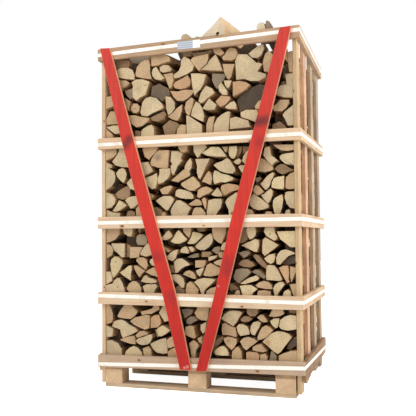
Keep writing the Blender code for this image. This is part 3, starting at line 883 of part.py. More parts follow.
def curves_to_mesh(curves, name):
    """The evaluated curves as one mesh in world space, with their caps welded on."""
    bpy.context.view_layer.update()
    depsgraph = bpy.context.evaluated_depsgraph_get()
    gathered = bmesh.new()
    for item in curves:
        loose = bpy.data.meshes.new_from_object(item.evaluated_get(depsgraph))
        loose.transform(item.matrix_world)
        single = bmesh.new()
        single.from_mesh(loose)
        bmesh.ops.remove_doubles(single, verts=single.verts, dist=0.00002)
        bmesh.ops.recalc_face_normals(single, faces=single.faces)
        single.to_mesh(loose)
        single.free()
        gathered.from_mesh(loose)
        bpy.data.meshes.remove(loose)
    mesh = bpy.data.meshes.new(name)
    gathered.to_mesh(mesh)
    gathered.free()
    for item in curves:
        bpy.data.objects.remove(item, do_unlink=True)
    return mesh


def add_outline_solid(name, outline, y_front, y_back, finish, parent):
    """A closed solid of one flat outline, with its origin in its middle."""
    curve = outline_curve(name + "_outline", outline, y_front, y_back, CUTTERS)
    middle = curve.location.copy()
    mesh = curves_to_mesh([curve], name)
    mesh.transform(Matrix.Translation(-middle))
    return add_object(name, mesh, middle, finish, parent)


# pallet: bottom boards, blocks, stringers and deck
for row, span in ROW_SPANS.items():
    board_x = (PALLET_LEFT, PALLET_RIGHT)
    add_board("bottom_board_" + row, board_x, span, (0.0, BOTTOM_BOARD_THICK), "pallet_wood", PALLET, False)
    for column, across in COLUMN_SPANS.items():
        block_z = (BOTTOM_BOARD_THICK + GAP, BLOCK_TOP)
        add_board("block_" + row + "_" + column, across, span, block_z, "pallet_wood", PALLET, False)
for column, across in COLUMN_SPANS.items():
    stringer_z = (BLOCK_TOP + GAP, STRINGER_TOP)
    add_board("stringer_" + column, across, (21.8, 845.2), stringer_z, "pallet_wood", PALLET, False)
for number, span in enumerate(DECK_SPANS, start=1):
    deck_z = (STRINGER_TOP + GAP, DECK_TOP)
    add_board("deck_board_" + str(number), (38.0, 1136.5), span, deck_z, "pallet_wood", PALLET, False)

# rails: the front and back ones run the full width, the side ones butt between them
FRONT_Y = (0.0, RAIL_THICK)
BACK_Y = (CRATE_DEPTH - RAIL_THICK, CRATE_DEPTH)
SIDE_Y = (RAIL_THICK + BUTT_GAP, CRATE_DEPTH - RAIL_THICK - BUTT_GAP)
LEFT_X = (0.0, LEFT_RAIL_THICK)
RIGHT_X = (CRATE_WIDTH - RAIL_THICK, CRATE_WIDTH)
for level in range(5):
    number = str(level + 1)
    left_end, right_end = FRONT_RAILS[level]
    back = BACK_RAILS[level]
    lowest = level == 4
    add_rail("rail_front_" + number, (0.0, CRATE_WIDTH), FRONT_Y, left_end, right_end)
    add_rail("rail_back_" + number, (0.0, CRATE_WIDTH), BACK_Y, back, back)
    side_back = SIDE_RAIL_LOW_BACK if lowest else back
    add_rail("rail_left_" + number, LEFT_X, SIDE_Y, SIDE_RAIL_LOW_FRONT if lowest else left_end, side_back)
    add_rail("rail_right_" + number, RIGHT_X, SIDE_Y, SIDE_RAIL_LOW_FRONT if lowest else right_end, side_back)

# side slats stand inside the side rails
for number, (near, far, bottom, top) in enumerate(SLATS, start=1):
    left_x = (LEFT_RAIL_THICK + GAP, LEFT_RAIL_THICK + SLAT_THICK)
    right_x = (CRATE_WIDTH - RAIL_THICK - SLAT_THICK, CRATE_WIDTH - RAIL_THICK - GAP)
    add_board("slat_left_" + str(number), left_x, (near, far), (bottom, top), "sawn_softwood", FRAME)
    add_board("slat_right_" + str(number), right_x, (near, far), (bottom, top), "sawn_softwood", FRAME)

# straps: one closed band round each level of rails, under the braces; it follows their heights
for level, (drop_left, drop_right, drop_back) in enumerate(STRAP_DROPS):
    name = "strap_" + str(level + 1)
    near = STRAP_OUT - STRAP_THICK
    middle_z = FRONT_RAILS[level][0][1] - drop_left - STRAP_HEIGHT / 2
    heights = {
        (-1, -1): 0.0,
        (1, -1): FRONT_RAILS[level][1][1] - drop_right - STRAP_HEIGHT / 2 - middle_z,
        (1, 1): BACK_RAILS[level][1] - drop_back - STRAP_HEIGHT / 2 - middle_z,
        (-1, 1): BACK_RAILS[level][1] - drop_back - STRAP_HEIGHT / 2 - middle_z,
    }
    mesh = cube_mesh(name, (CRATE_WIDTH + 2 * near, CRATE_DEPTH + 2 * near, STRAP_HEIGHT))
    bm = bmesh.new()
    bm.from_mesh(mesh)
    bm.normal_update()
    ends = [face for face in bm.faces if abs(face.normal.z) > 0.9]
    bmesh.ops.delete(bm, geom=ends, context="FACES_ONLY")
    for vert in bm.verts:
        corner = (1 if vert.co.x > 0 else -1, 1 if vert.co.y > 0 else -1)
        vert.co.z += heights[corner] * MM
    bm.to_mesh(mesh)
    bm.free()
    strap = add_object(name, mesh, spot(CENTRE_X, CRATE_DEPTH / 2, middle_z), "strapping", FRAME)
    skin = strap.modifiers.new("skin", "SOLIDIFY")
    skin.thickness = STRAP_THICK * MM
    skin.offset = 1.0
    skin.use_even_offset = True

# braces: red sloping boards over the straps, their top and bottom ends cut level
BRACE_BACK_Y = BRACE_FACE_Y + BRACE_THICK
for side, (outer, inner) in {"left": LEFT_BRACE, "right": RIGHT_BRACE}.items():
    outline = list(outer) + list(inner)[::-1]
    chamfer(add_outline_solid("brace_" + side, outline, BRACE_FACE_Y, BRACE_BACK_Y, "red_board", FRAME))

# label: a blank stick-on plate over the top strap
label_x = (LABEL_X - LABEL_SIZE[0] / 2, LABEL_X + LABEL_SIZE[0] / 2)
label_y = (-STRAP_OUT - GAP - LABEL_THICK, -STRAP_OUT - GAP)
label_z = (LABEL_Z - LABEL_SIZE[1] / 2, LABEL_Z + LABEL_SIZE[1] / 2)
add_board("label", label_x, label_y, label_z, "label_paper", FRAME, False)


def shrunk(points, keep_share, inset):
    """The outline pulled in towards its middle so that neighbours stay apart."""
    cx = sum(p[0] for p in points) / len(points)
    cz = sum(p[1] for p in points) / len(points)
    out = []
    for x, z in points:
        reach = math.hypot(x - cx, z - cz)
        keep = max(0.3, keep_share - inset / reach)
        out.append((cx + (x - cx) * keep, cz + (z - cz) * keep))
    return out


def simplified(points, most):
    """The outline with the corners that matter least left out."""
    points = list(points)
    while len(points) > most:
        costs = []
        for i in range(len(points)):
            (ax, az), (bx, bz), (cx, cz) = points[i - 1], points[i], points[(i + 1) % len(points)]
            costs.append(abs((bx - ax) * (cz - az) - (cx - ax) * (bz - az)))
        points.pop(costs.index(min(costs)))
    return points


def behind_boards(z):
    """True where a front rail hides a log end."""
    for left_end, right_end in FRONT_RAILS:
        low = min(left_end[0], right_end[0])
        high = max(left_end[1], right_end[1])
        if low + 12.0 < z < high - 8.0:
            return True
    return False


# log rows: a core under the surface of the stack, the top logs whole, the end faces in relief
for row, settings in LOG_ROWS.items():
    logs, surface = stack_logs(row)
    start = settings["start"]
    end = settings["end"]
    core_start = start + RELIEF if row == "front" else start
    core_end = end - RELIEF if row == "back" else end
    half = STACK_WIDTH / 2 - 1.0
    steps = int(round(2 * half / CORE_STEP))
    core_xs = []
    core_zs = []
    for i in range(steps + 1):
        x = -half + 2 * half * i / steps
        near = int(max(0, (x - CORE_STEP / 2 + STACK_WIDTH / 2) / CELL))
        far = int(min(len(surface), (x + CORE_STEP / 2 + STACK_WIDTH / 2) / CELL))
        core_xs.append(x + CENTRE_X)
        core_zs.append(float(surface[near:far].min()) - CORE_COVER)
    outline = [(core_xs[0], STACK_BASE)] + list(zip(core_xs, core_zs)) + [(core_xs[-1], STACK_BASE)]
    core = add_outline_solid("logs_" + row, outline, core_start, core_end, "split_hornbeam", STACK)
    ends = []
    back_count = 0
    for log in logs:
        measured = log["form"] in ("measured", "deep")
        points = simplified(log["points"], MOST_CORNERS[min(1, log.get("bay", 1))] if measured else 4)
        points = shrunk([(x + CENTRE_X, z) for x, z in points], 0.985 if measured else 0.94, 1.0 if measured else 2.0)
        middle_z = sum(p[1] for p in points) / len(points)
        under = [float(np.interp(x, core_xs, core_zs)) - z for x, z in points]
        if max(under) < 5.0:
            continue
        setback = SETBACKS[(len(ends) * 7) % len(SETBACKS)]
        if log["form"] == "deep":
            setback = DEEP_Y - start
        if min(under) < 4.0:
            ends.append(outline_curve("whole_log", points, start + setback, end - 12.0 + min(setback, 12.0) / 2, CUTTERS))
        elif row == "front" and (measured or not behind_boards(middle_z)):
            ends.append(outline_curve("log_end", points, start + setback, core_start + 5.0, CUTTERS))
        elif row == "back" and not behind_boards(middle_z):
            back_count += 1
            if back_count % BACK_CYCLE in BACK_RELIEF:
                ends.append(outline_curve("log_end", points, core_end - 5.0, end - setback, CUTTERS))
    print(row, "logs", len(logs), "ends", len(ends))
    ends_mesh = curves_to_mesh(ends, "ends_" + row)
    cutter = bpy.data.objects.new("ends_" + row, ends_mesh)
    CUTTERS.objects.link(cutter)
    cutter.hide_render = True
    cutter.display_type = "WIRE"
    union = core.modifiers.new("log_ends", "BOOLEAN")
    union.operation = "UNION"
    union.solver = "EXACT"
    union.use_self = True
    union.object = cutter

# two loose logs lie on top of the stack and show above the top rail
for name, (profile, span, turn, dip) in LOOSE_LOGS.items():
    outline = [(x + CENTRE_X, z) for x, z in profile]
    log = add_outline_solid(name, outline, span[0], span[1], "split_hornbeam", STACK)
    tip = spot(outline[0][0], span[0], outline[0][1])
    turned = Matrix.Rotation(math.radians(-turn), 4, "Z") @ Matrix.Rotation(math.radians(-dip), 4, "X")
    log.rotation_euler = turned.to_euler()
    log.location = tip + turned @ (log.location - tip)
    chamfer(log, 3.0)
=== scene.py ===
import math
import random

import bpy
import numpy as np
from mathutils import Matrix, Vector


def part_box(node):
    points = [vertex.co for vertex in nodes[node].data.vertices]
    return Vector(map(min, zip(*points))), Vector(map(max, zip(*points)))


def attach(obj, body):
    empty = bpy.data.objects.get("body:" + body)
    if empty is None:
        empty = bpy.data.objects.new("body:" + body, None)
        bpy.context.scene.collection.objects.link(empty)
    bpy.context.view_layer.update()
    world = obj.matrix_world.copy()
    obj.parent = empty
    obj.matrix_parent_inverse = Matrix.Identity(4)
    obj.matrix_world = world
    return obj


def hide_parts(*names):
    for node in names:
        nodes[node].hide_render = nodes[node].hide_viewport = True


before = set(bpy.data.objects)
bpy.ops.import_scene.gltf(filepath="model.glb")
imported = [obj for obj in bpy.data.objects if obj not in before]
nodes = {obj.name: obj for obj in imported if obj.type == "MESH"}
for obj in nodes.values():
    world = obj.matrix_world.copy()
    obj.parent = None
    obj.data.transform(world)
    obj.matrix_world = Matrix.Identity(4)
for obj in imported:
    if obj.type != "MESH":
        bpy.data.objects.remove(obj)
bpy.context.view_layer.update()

mm = 0.001

# the builder's own millimetres run from the crate's left front bottom corner; the origin is under the middle
crate = {"width": 1180.0, "middleX": 590.0, "middleY": 423.3}

# the camera stands where the photograph was taken from: place, lens and sensor in mm, angles in degrees
view = {
    "spot": (1710.1, -3317.1, 829.7),
    "turn": -17.48,
    "rise": 2.80,
    "roll": -0.51,
    "lens": 55.33,
    "sensor": 36.0,
    "farthest": 60.0,  # m
    "pictureSide": 416.0,  # pixels
}
logEndY = 28.0  # mm; the sawn ends of the front logs lie about here


def viewAxes():
    turn, rise, roll = (math.radians(view[name]) for name in ("turn", "rise", "roll"))
    ahead = np.array((math.sin(turn) * math.cos(rise), math.cos(turn) * math.cos(rise), math.sin(rise)))
    across = np.array((math.cos(turn), -math.sin(turn), 0.0))
    upward = np.cross(across, ahead)
    right = math.cos(roll) * across + math.sin(roll) * upward
    up = -math.sin(roll) * across + math.cos(roll) * upward
    return ahead, right, up


def metres(x, y, z):
    return Vector(((x - crate["middleX"]) * mm, (y - crate["middleY"]) * mm, z * mm))


def makeCamera():
    ahead, right, up = viewAxes()
    bpy.ops.object.camera_add()
    camera = bpy.context.object
    camera.name = "studioCamera"
    camera.data.lens = view["lens"]
    camera.data.sensor_width = view["sensor"]
    turned = Matrix((right, up, -ahead)).transposed().to_4x4()
    camera.matrix_world = Matrix.Translation(metres(*view["spot"])) @ turned
    camera.data.clip_end = view["farthest"]
    bpy.context.scene.camera = camera


def onLogEnds(pictureX, pictureY, y=logEndY):
    # where the ray through a point of the picture meets the upright plane at y: x from the middle, and z
    ahead, right, up = viewAxes()
    reach = view["lens"] / view["sensor"] * view["pictureSide"]
    half = view["pictureSide"] / 2
    ray = ahead + right * (pictureX - half) / reach + up * (half - pictureY) / reach
    steps = (y - view["spot"][1]) / ray[1]
    return view["spot"][0] + ray[0] * steps - crate["middleX"], view["spot"][2] + ray[2] * steps


makeCamera()
print("camera placed")

# soft, even light as in a studio tent: bright walls all round, one lamp high in front and one at the right
studio = {
    "wallHex": "#ffffff",
    "wallLight": 0.70,
    "wallSeen": 1.0,
    "lampAim": (590.0, 300.0, 1150.0),
    # place in mm, power in W and size in m
    "lamps": {
        "frontLamp": ((-900.0, -3600.0, 4300.0), 100.0, 2.6),
        "sideLamp": ((5200.0, -300.0, 2400.0), 130.0, 2.0),
    },
    "floorSize": 40.0,
    "floorHex": "#ffffff",
    "floorShadeHex": "#fbfbfa",
    "floorGlow": 0.92,  # the floor looks lit from below, like a light table, and sheds no light of its own
}


def hexChannels(text):
    return [int(text[i:i + 2], 16) for i in (1, 3, 5)]


def fromHex(text):
    shares = [channel / 255 for channel in hexChannels(text)]
    linear = [c / 12.92 if c <= 0.04045 else ((c + 0.055) / 1.055) ** 2.4 for c in shares]
    return (*linear, 1.0)


def addNode(tree, kind, sockets=None, stops=None, **settings):
    node = tree.nodes.new("ShaderNode" + kind)
    for name, value in settings.items():
        setattr(node, name, value)
    if stops:
        ramp = node.color_ramp
        while len(ramp.elements) < len(stops):
            ramp.elements.new(0.5)
        for element, (place, colour) in zip(ramp.elements, stops):
            element.position = place
            element.color = fromHex(colour)
    for name, value in (sockets or {}).items():
        if isinstance(value, bpy.types.NodeSocket):
            tree.links.new(value, node.inputs[name])
        else:
            node.inputs[name].default_value = value
    return node


def waveScale(millimetres):
    # Blender's wave texture repeats every 2 pi / 20 units at scale 1
    return 2 * math.pi / 20 / (millimetres * mm)


def fromSpot(tree, coords, centre, axes, wobble, amount):
    # how far away the middle of a spot is, with noise added so that its rim is uneven
    away = addNode(tree, "VectorMath", {0: coords, 1: centre}, operation="SUBTRACT")
    squeezed = addNode(tree, "VectorMath", {0: away.outputs[0], 1: axes}, operation="MULTIPLY")
    reach = addNode(tree, "VectorMath", {0: squeezed.outputs[0]}, operation="LENGTH")
    sockets = {0: wobble, 1: amount, 2: reach.outputs["Value"]}
    return addNode(tree, "Math", sockets, operation="MULTIPLY_ADD").outputs[0]


def paintSpot(tree, colour, away, inner, outer, share, paint):
    # the paint covers this share of the colour up to the inner reach and fades out by the outer one
    cover = addNode(tree, "MapRange", {"Value": away, "From Min": inner, "From Max": outer, "To Min": share,
                                       "To Max": 0.0})
    return addNode(tree, "Mix", {0: cover.outputs[0], 6: colour, 7: paint}, data_type="RGBA").outputs[2]


def newMaterial(name, roughness, specular=0.5):
    material = bpy.data.materials.new(name)
    material.use_nodes = True
    tree = material.node_tree
    shader = tree.nodes["Principled BSDF"]
    shader.inputs["Roughness"].default_value = roughness
    shader.inputs["Specular IOR Level"].default_value = specular
    return material, tree, shader


def linkSurface(tree, shader, colour, bump):
    tree.links.new(colour, shader.inputs["Base Color"])
    tree.links.new(bump.outputs["Normal"], shader.inputs["Normal"])


def lightStudio():
    world = bpy.data.worlds.new("studioTent")
    bpy.context.scene.world = world
    world.use_nodes = True
    tree = world.node_tree
    backdrop = tree.nodes["Background"]
    backdrop.inputs["Color"].default_value = fromHex(studio["wallHex"])
    seen = addNode(tree, "LightPath").outputs["Is Camera Ray"]
    levels = {"Value": seen, "To Min": studio["wallLight"], "To Max": studio["wallSeen"]}
    strength = addNode(tree, "MapRange", levels)
    tree.links.new(strength.outputs[0], backdrop.inputs["Strength"])
    for name, (place, power, size) in studio["lamps"].items():
        bpy.ops.object.light_add(type="AREA", location=metres(*place))
        lamp = bpy.context.object
        lamp.name = name
        lamp.data.size = size
        lamp.data.energy = power
        aim = metres(*studio["lampAim"]) - lamp.location
        lamp.rotation_euler = aim.to_track_quat("-Z", "Y").to_euler()
    bpy.ops.mesh.primitive_plane_add(size=studio["floorSize"], location=(0.0, 0.0, 0.0))
    floor = bpy.context.object
    floor.name = "studioFloor"
    # matt white paint, hardly shaded
    material, tree, shader = newMaterial("paintedStudioFloor", 0.9)
    coords = addNode(tree, "TexCoord").outputs["Object"]
    cloud = addNode(tree, "TexNoise", {"Vector": coords, "Scale": 1.5})
    whites = [(0.0, studio["floorShadeHex"]), (1.0, studio["floorHex"])]
    tint = addNode(tree, "ValToRGB", {"Fac": cloud.outputs["Fac"]}, stops=whites)
    tree.links.new(tint.outputs["Color"], shader.inputs["Base Color"])
    shader.inputs["Emission Color"].default_value = fromHex(studio["wallHex"])
    seen = addNode(tree, "LightPath").outputs["Is Camera Ray"]
    glow = addNode(tree, "Math", {0: seen, 1: studio["floorGlow"]}, operation="MULTIPLY")
    tree.links.new(glow.outputs[0], shader.inputs["Emission Strength"])
    floor.data.materials.append(material)
    bpy.context.scene.view_settings.view_transform = "Standard"


lightStudio()
print("light and floor ready")

# sawn spruce boards: pale wood with long darker grain lines, grey weathering, brown knots and a rough face
softwood = {
    "roughness": 0.78,
    "specular": 0.3,
    "fibre": 9.0,  # mm across one grain line, drawn coarser than the real 2 mm so that it shows
    "fibreLength": 260.0,
    "cloud": 55.0,
    "sawMark": 6.0,
    "knotHex": "#6b4428",
    "knotRingHex": "#a0744a",
    "knotStretch": 0.62,  # below 1 draws a knot out along the grain
}


def softwoodMaterial(name, along, lightHex, darkHex, start, greyHex, greyShare, knots):
    material, tree, shader = newMaterial(name, softwood["roughness"], softwood["specular"])
    coords = addNode(tree, "TexCoord").outputs["Object"]
    length = 1000.0 / softwood["fibreLength"]
    fineScale = [(length if axis == along else 1000.0 / softwood["fibre"]) for axis in "xyz"]
    wideScale = [(length * 0.6 if axis == along else 1000.0 / softwood["cloud"]) for axis in "xyz"]
    fineStart = (start, start * 1.7, start * 0.6)
    wideStart = (start * 2.1, start, start)
    spot = addNode(tree, "Mapping", {"Vector": coords, "Location": fineStart, "Scale": fineScale}).outputs[0]
    fine = addNode(tree, "TexNoise", {"Vector": spot, "Scale": 1.0, "Detail": 3.0, "Roughness": 0.6})
    spot = addNode(tree, "Mapping", {"Vector": coords, "Location": wideStart, "Scale": wideScale}).outputs[0]
    broad = addNode(tree, "TexNoise", {"Vector": spot, "Scale": 1.0, "Detail": 2.0, "Distortion": 0.6})
    lineStops = [(0.30, darkHex), (0.52, lightHex), (0.80, lightHex)]
    lines = addNode(tree, "ValToRGB", {"Fac": fine.outputs["Fac"]}, stops=lineStops)
    shadeStops = [(0.32, darkHex), (0.60, lightHex)]
    shade = addNode(tree, "ValToRGB", {"Fac": broad.outputs["Fac"]}, stops=shadeStops)
    halves = {0: 0.5, 6: lines.outputs["Color"], 7: shade.outputs["Color"]}
    colour = addNode(tree, "Mix", halves, data_type="RGBA").outputs[2]
    if greyHex:
        stain = addNode(tree, "TexNoise", {"Vector": coords, "Scale": 5.0, "Detail": 4.0, "Roughness": 0.65})
        amount = addNode(tree, "MapRange", {"Value": stain.outputs["Fac"], "From Min": 0.40, "From Max": 0.68,
                                            "To Min": 0.0, "To Max": greyShare})
        greyed = {0: amount.outputs[0], 6: colour, 7: fromHex(greyHex)}
        colour = addNode(tree, "Mix", greyed, data_type="RGBA").outputs[2]
    axes = [softwood["knotStretch"] if axis == along else 1.0 for axis in "xyz"]
    ring, heart = fromHex(softwood["knotRingHex"]), fromHex(softwood["knotHex"])
    for x, y, z, size in knots:
        radius = size * mm
        rough = addNode(tree, "TexNoise", {"Vector": coords, "Scale": 90.0}).outputs["Fac"]
        away = fromSpot(tree, coords, metres(x, y, z), axes, rough, radius * 0.5)
        knot = paintSpot(tree, ring, away, radius * 0.4, radius * 0.9, 1.0, heart)
        colour = paintSpot(tree, colour, away, radius * 0.75, radius * 1.5, 1.0, knot)
    saw = addNode(tree, "TexWave", {"Vector": coords, "Scale": waveScale(softwood["sawMark"]),
                                    "Distortion": 1.5, "Detail": 2.0}, bands_direction=along.upper())
    height = addNode(tree, "Mix", {0: 0.3, 2: fine.outputs["Fac"], 3: saw.outputs["Fac"]}, data_type="FLOAT")
    bump = addNode(tree, "Bump", {"Height": height.outputs[0], "Strength": 0.25, "Distance": 0.002})
    linkSurface(tree, shader, colour, bump)
    return material


def dress(name, material):
    node = nodes[name]
    node.data.materials.clear()
    node.data.materials.append(material)


# boards that the photograph shows: grain direction, light and dark wood, start of the pattern, weathering hex
# and share, knots as x, y, z and size in mm
boardTones = {
    "rail_front_1": ("x", "#c09f80", "#a3805e", 1.3, "#897966", 0.4, ((408, 0, 1929, 10), (726, 0, 1949, 8))),
    "rail_front_2": ("x", "#dec2a0", "#caa177", 4.1, None, 0.0, ((208, 0, 1362, 9), (905, 0, 1352, 8))),
    "rail_front_3": ("x", "#ddc3a4", "#cba17f", 7.7, None, 0.0, ((152, 0, 908, 10), (640, 0, 905, 5))),
    "rail_front_4": ("x", "#dfcaa9", "#cda582", 2.9, "#bb8b6f", 0.5, ((300, 0, 486, 6), (850, 0, 470, 7))),
    "rail_front_5": ("x", "#c8ac8e", "#ac896a", 9.2, "#98897f", 0.55, ((255, 0, 160, 8), (930, 0, 135, 9))),
    "rail_right_1": ("y", "#c4a788", "#a1815e", 3.3, "#8b7e73", 0.5, ((1180, 300, 1916, 8),)),
    "rail_right_2": ("y", "#d6ba99", "#b68d65", 5.9, "#a48f7d", 0.4, ((1180, 560, 1372, 9),)),
    "rail_right_3": ("y", "#d9be9f", "#bb936e", 8.4, "#a48f7d", 0.3, ((1180, 180, 930, 7),)),
    "rail_right_4": ("y", "#d5b897", "#b58c66", 1.8, "#a48f7d", 0.4, ((1180, 700, 498, 8),)),
    "rail_right_5": ("y", "#ac8766", "#836141", 6.6, "#6c5847", 0.7, ((1180, 420, 140, 9),)),
    "slat_right_1": ("z", "#d0b489", "#b6916a", 2.2, "#8b7763", 0.45,
        ((1139, 22, 1610, 6), (1139, 22, 700, 5))),
    "slat_right_2": ("z", "#dfb694", "#b58a69", 5.1, "#886754", 0.6, ((1159, 300, 1640, 9),)),
    "slat_right_3": ("z", "#c9ad89", "#a1855f", 7.3, "#877769", 0.6, ((1159, 560, 1150, 9),)),
    "slat_right_4": ("z", "#bda589", "#988066", 3.7, "#81736d", 0.7, ((1159, 800, 640, 8),)),
    "slat_left_1": ("z", "#dcbf9d", "#c0986f", 9.9, "#9c876f", 0.35, ((30, 22, 1520, 6), (30, 22, 560, 5))),
}
# boards at the back and the left: grain direction, light and dark wood; weathering and knots fall at random
otherBoards = {
    "rail_back": ("x", "#d4b898", "#b8906b"),
    "rail_left": ("y", "#d1b594", "#b38b64"),
    "slat_left": ("z", "#cdaf8a", "#a7815b"),
}
# the pallet: grain direction, light and dark wood, weathering hex and share
palletTones = {
    "bottom_board": ("x", "#d6bc9b", "#ad9175", "#968b7c", 0.4),
    "block": ("y", "#e0c19a", "#c29b73", "#a8917a", 0.35),
    "stringer": ("y", "#c1a07b", "#9c7954", "#887764", 0.4),
    "deck_board": ("x", "#bd9d7a", "#987552", "#887764", 0.4),
}
# what is drawn at random for both
randomLook = {
    "seed": 5,
    "starts": (0, 20),
    "greyHex": "#9b8a74",
    "greyShares": (0.2, 0.6),
    "knots": 2,
    "knotPlaces": (0.15, 0.85),
    "knotSizes": (6, 10),
}


def randomKnots(name, along, scatter):
    low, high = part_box(name)
    knots = []
    for knot in range(randomLook["knots"]):
        place = [low[i] + (high[i] - low[i]) * scatter.uniform(*randomLook["knotPlaces"]) for i in range(3)]
        if along == "x":
            place[1] = high[1]
        else:
            place[0] = low[0]
        x, y, z = (value / mm for value in place)
        size = scatter.uniform(*randomLook["knotSizes"])
        knots.append((x + crate["middleX"], y + crate["middleY"], z, size))
    return knots


def dressBoards():
    scatter = random.Random(randomLook["seed"])
    for name in sorted(nodes):
        family = name.rsplit("_", 1)[0]
        kind = next((kind for kind in palletTones if name.startswith(kind)), None)
        if name in boardTones:
            along, lightHex, darkHex, start, greyHex, greyShare, knots = boardTones[name]
        elif family in otherBoards:
            along, lightHex, darkHex = otherBoards[family]
            start = scatter.uniform(*randomLook["starts"])
            greyHex = randomLook["greyHex"]
            greyShare = scatter.uniform(*randomLook["greyShares"])
            knots = randomKnots(name, along, scatter)
        elif kind:
            along, lightHex, darkHex, greyHex, greyShare = palletTones[kind]
            start = scatter.uniform(*randomLook["starts"])
            knots = ()
        else:
            continue
        look = (along, lightHex, darkHex, start, greyHex, greyShare, knots)
        dress(name, softwoodMaterial("sawnSpruce_" + name, *look))


dressBoards()
print("boards dressed")

# braces: boards painted red on the broad faces; their sawn edges show bare wood
brace = {
    "roughness": 0.55,
    "specular": 0.4,
    "faceY": -21.6,  # mm, the painted front
    "slopes": {"brace_left": -14.8, "brace_right": 15.0},
    "reds": ((0.0, "#bd190b"), (0.5, "#cf2a18"), (1.0, "#c62d1d")),  # from low to high on the crate
    "redSpan": (0.2, 1.7),  # m
    "grain": (95.0, 95.0, 3.0),  # streaks to the metre, across and along the board
    "edgeHexes": {"brace_left": ("#cb8c64", "#e6ab82"), "brace_right": ("#b37a5b", "#d09472")},
    "stainHexes": {"dirt": "#5c1719", "deep": "#a01c1c", "worn": "#e59a90"},
    # x, z and size in mm
    "stains": {
        "brace_left": (
            (210, 1398, 36, "dirt"), (185, 1365, 36, "dirt"), (378, 733, 44, "deep"), (456, 520, 46, "deep"),
            (530, 136, 10, "worn"), (547, 142, 11, "worn"),
        ),
        "brace_right": (
            (944, 1448, 38, "dirt"), (971, 1454, 38, "dirt"), (1001, 1460, 38, "dirt"),
            (964, 1340, 34, "deep"), (790, 697, 58, "deep"), (774, 655, 40, "deep"),
            (727, 579, 7, "worn"), (745, 752, 7, "worn"),
        ),
    },
}


def paintBrace(name):
    material, tree, shader = newMaterial("redPaintedSpruce_" + name, brace["roughness"], brace["specular"])
    coords = addNode(tree, "TexCoord").outputs["Object"]
    turn = (0.0, math.radians(brace["slopes"][name]), 0.0)
    spot = addNode(tree, "Mapping", {"Vector": coords, "Rotation": turn, "Scale": brace["grain"]}).outputs[0]
    streak = addNode(tree, "TexNoise", {"Vector": spot, "Scale": 1.0, "Detail": 3.0}).outputs["Fac"]
    patch = addNode(tree, "TexNoise", {"Vector": coords, "Scale": 9.0, "Detail": 3.0}).outputs["Fac"]
    height = addNode(tree, "SeparateXYZ", {0: coords}).outputs["Z"]
    low, high = brace["redSpan"]
    rise = addNode(tree, "MapRange", {"Value": height, "From Min": low, "From Max": high})
    red = addNode(tree, "ValToRGB", {"Fac": rise.outputs[0]}, stops=brace["reds"])
    rubbed = addNode(tree, "MapRange", {"Value": streak, "From Min": 0.30, "From Max": 0.75, "To Min": 0.82,
                                        "To Max": 1.10})
    cloud = addNode(tree, "MapRange", {"Value": patch, "From Min": 0.3, "From Max": 0.7, "To Min": 0.93,
                                       "To Max": 1.05})
    gain = addNode(tree, "Math", {0: rubbed.outputs[0], 1: cloud.outputs[0]}, operation="MULTIPLY")
    lit = {0: red.outputs[0], "Scale": gain.outputs[0]}
    colour = addNode(tree, "VectorMath", lit, operation="SCALE").outputs[0]
    for x, z, size, kind in brace["stains"][name]:
        radius = size * mm
        away = fromSpot(tree, coords, metres(x, brace["faceY"], z), (1.0, 1.0, 1.0), patch, radius)
        stain = fromHex(brace["stainHexes"][kind])
        colour = paintSpot(tree, colour, away, radius * 0.7, radius * 1.6, 0.75, stain)
    darkEdge, lightEdge = brace["edgeHexes"][name]
    bare = addNode(tree, "Mix", {0: streak, 6: fromHex(darkEdge), 7: fromHex(lightEdge)}, data_type="RGBA")
    facing = addNode(tree, "SeparateXYZ", {0: addNode(tree, "NewGeometry").outputs["Normal"]})
    broad = addNode(tree, "Math", {0: facing.outputs["Y"]}, operation="ABSOLUTE")
    painted = addNode(tree, "MapRange", {"Value": broad.outputs[0], "From Min": 0.75, "From Max": 0.85})
    board = addNode(tree, "Mix", {0: painted.outputs[0], 6: bare.outputs[2], 7: colour}, data_type="RGBA")
    bump = addNode(tree, "Bump", {"Height": streak, "Strength": 0.3, "Distance": 0.0015})
    linkSurface(tree, shader, board.outputs[2], bump)
    dress(name, material)


for braceName in brace["slopes"]:
    paintBrace(braceName)

# straps: white woven polyester, a little shiny, with fine ribs across the band and light dirt
strapping = {
    "levels": 5,
    "hex": "#fbf7ec",
    "dirtHex": "#ddd3c3",
    "ribEvery": 5.0,  # mm; real ribs are nearer 1 mm and would not show
    "roughness": 0.42,
}


def dressStraps():
    material, tree, shader = newMaterial("wovenPolyesterStrapping", strapping["roughness"])
    coords = addNode(tree, "TexCoord").outputs["Object"]
    sockets = {"Vector": coords, "Scale": waveScale(strapping["ribEvery"]), "Distortion": 0.4}
    ribs = addNode(tree, "TexWave", sockets, bands_direction="DIAGONAL")
    dirt = addNode(tree, "TexNoise", {"Vector": coords, "Scale": 14.0, "Detail": 4.0})
    whites = [(0.28, strapping["dirtHex"]), (0.48, strapping["hex"])]
    tint = addNode(tree, "ValToRGB", {"Fac": dirt.outputs["Fac"]}, stops=whites)
    bump = addNode(tree, "Bump", {"Height": ribs.outputs["Fac"], "Strength": 0.35, "Distance": 0.0006})
    linkSurface(tree, shader, tint.outputs["Color"], bump)
    for level in range(strapping["levels"]):
        dress("strap_" + str(level + 1), material)


dressStraps()

# label: a blank ruled paper, pale blue with a white end; nothing is written on it
paper = {
    "roughness": 0.45,
    "blueHex": "#b9bec6",
    "whiteHex": "#f2efec",
    "lineHex": "#74819a",
    "lineShare": 0.7,
    "split": 586.0,
    "rowEvery": 11.5,  # mm; finer rows would not show
    "rowThick": 4.2,
}


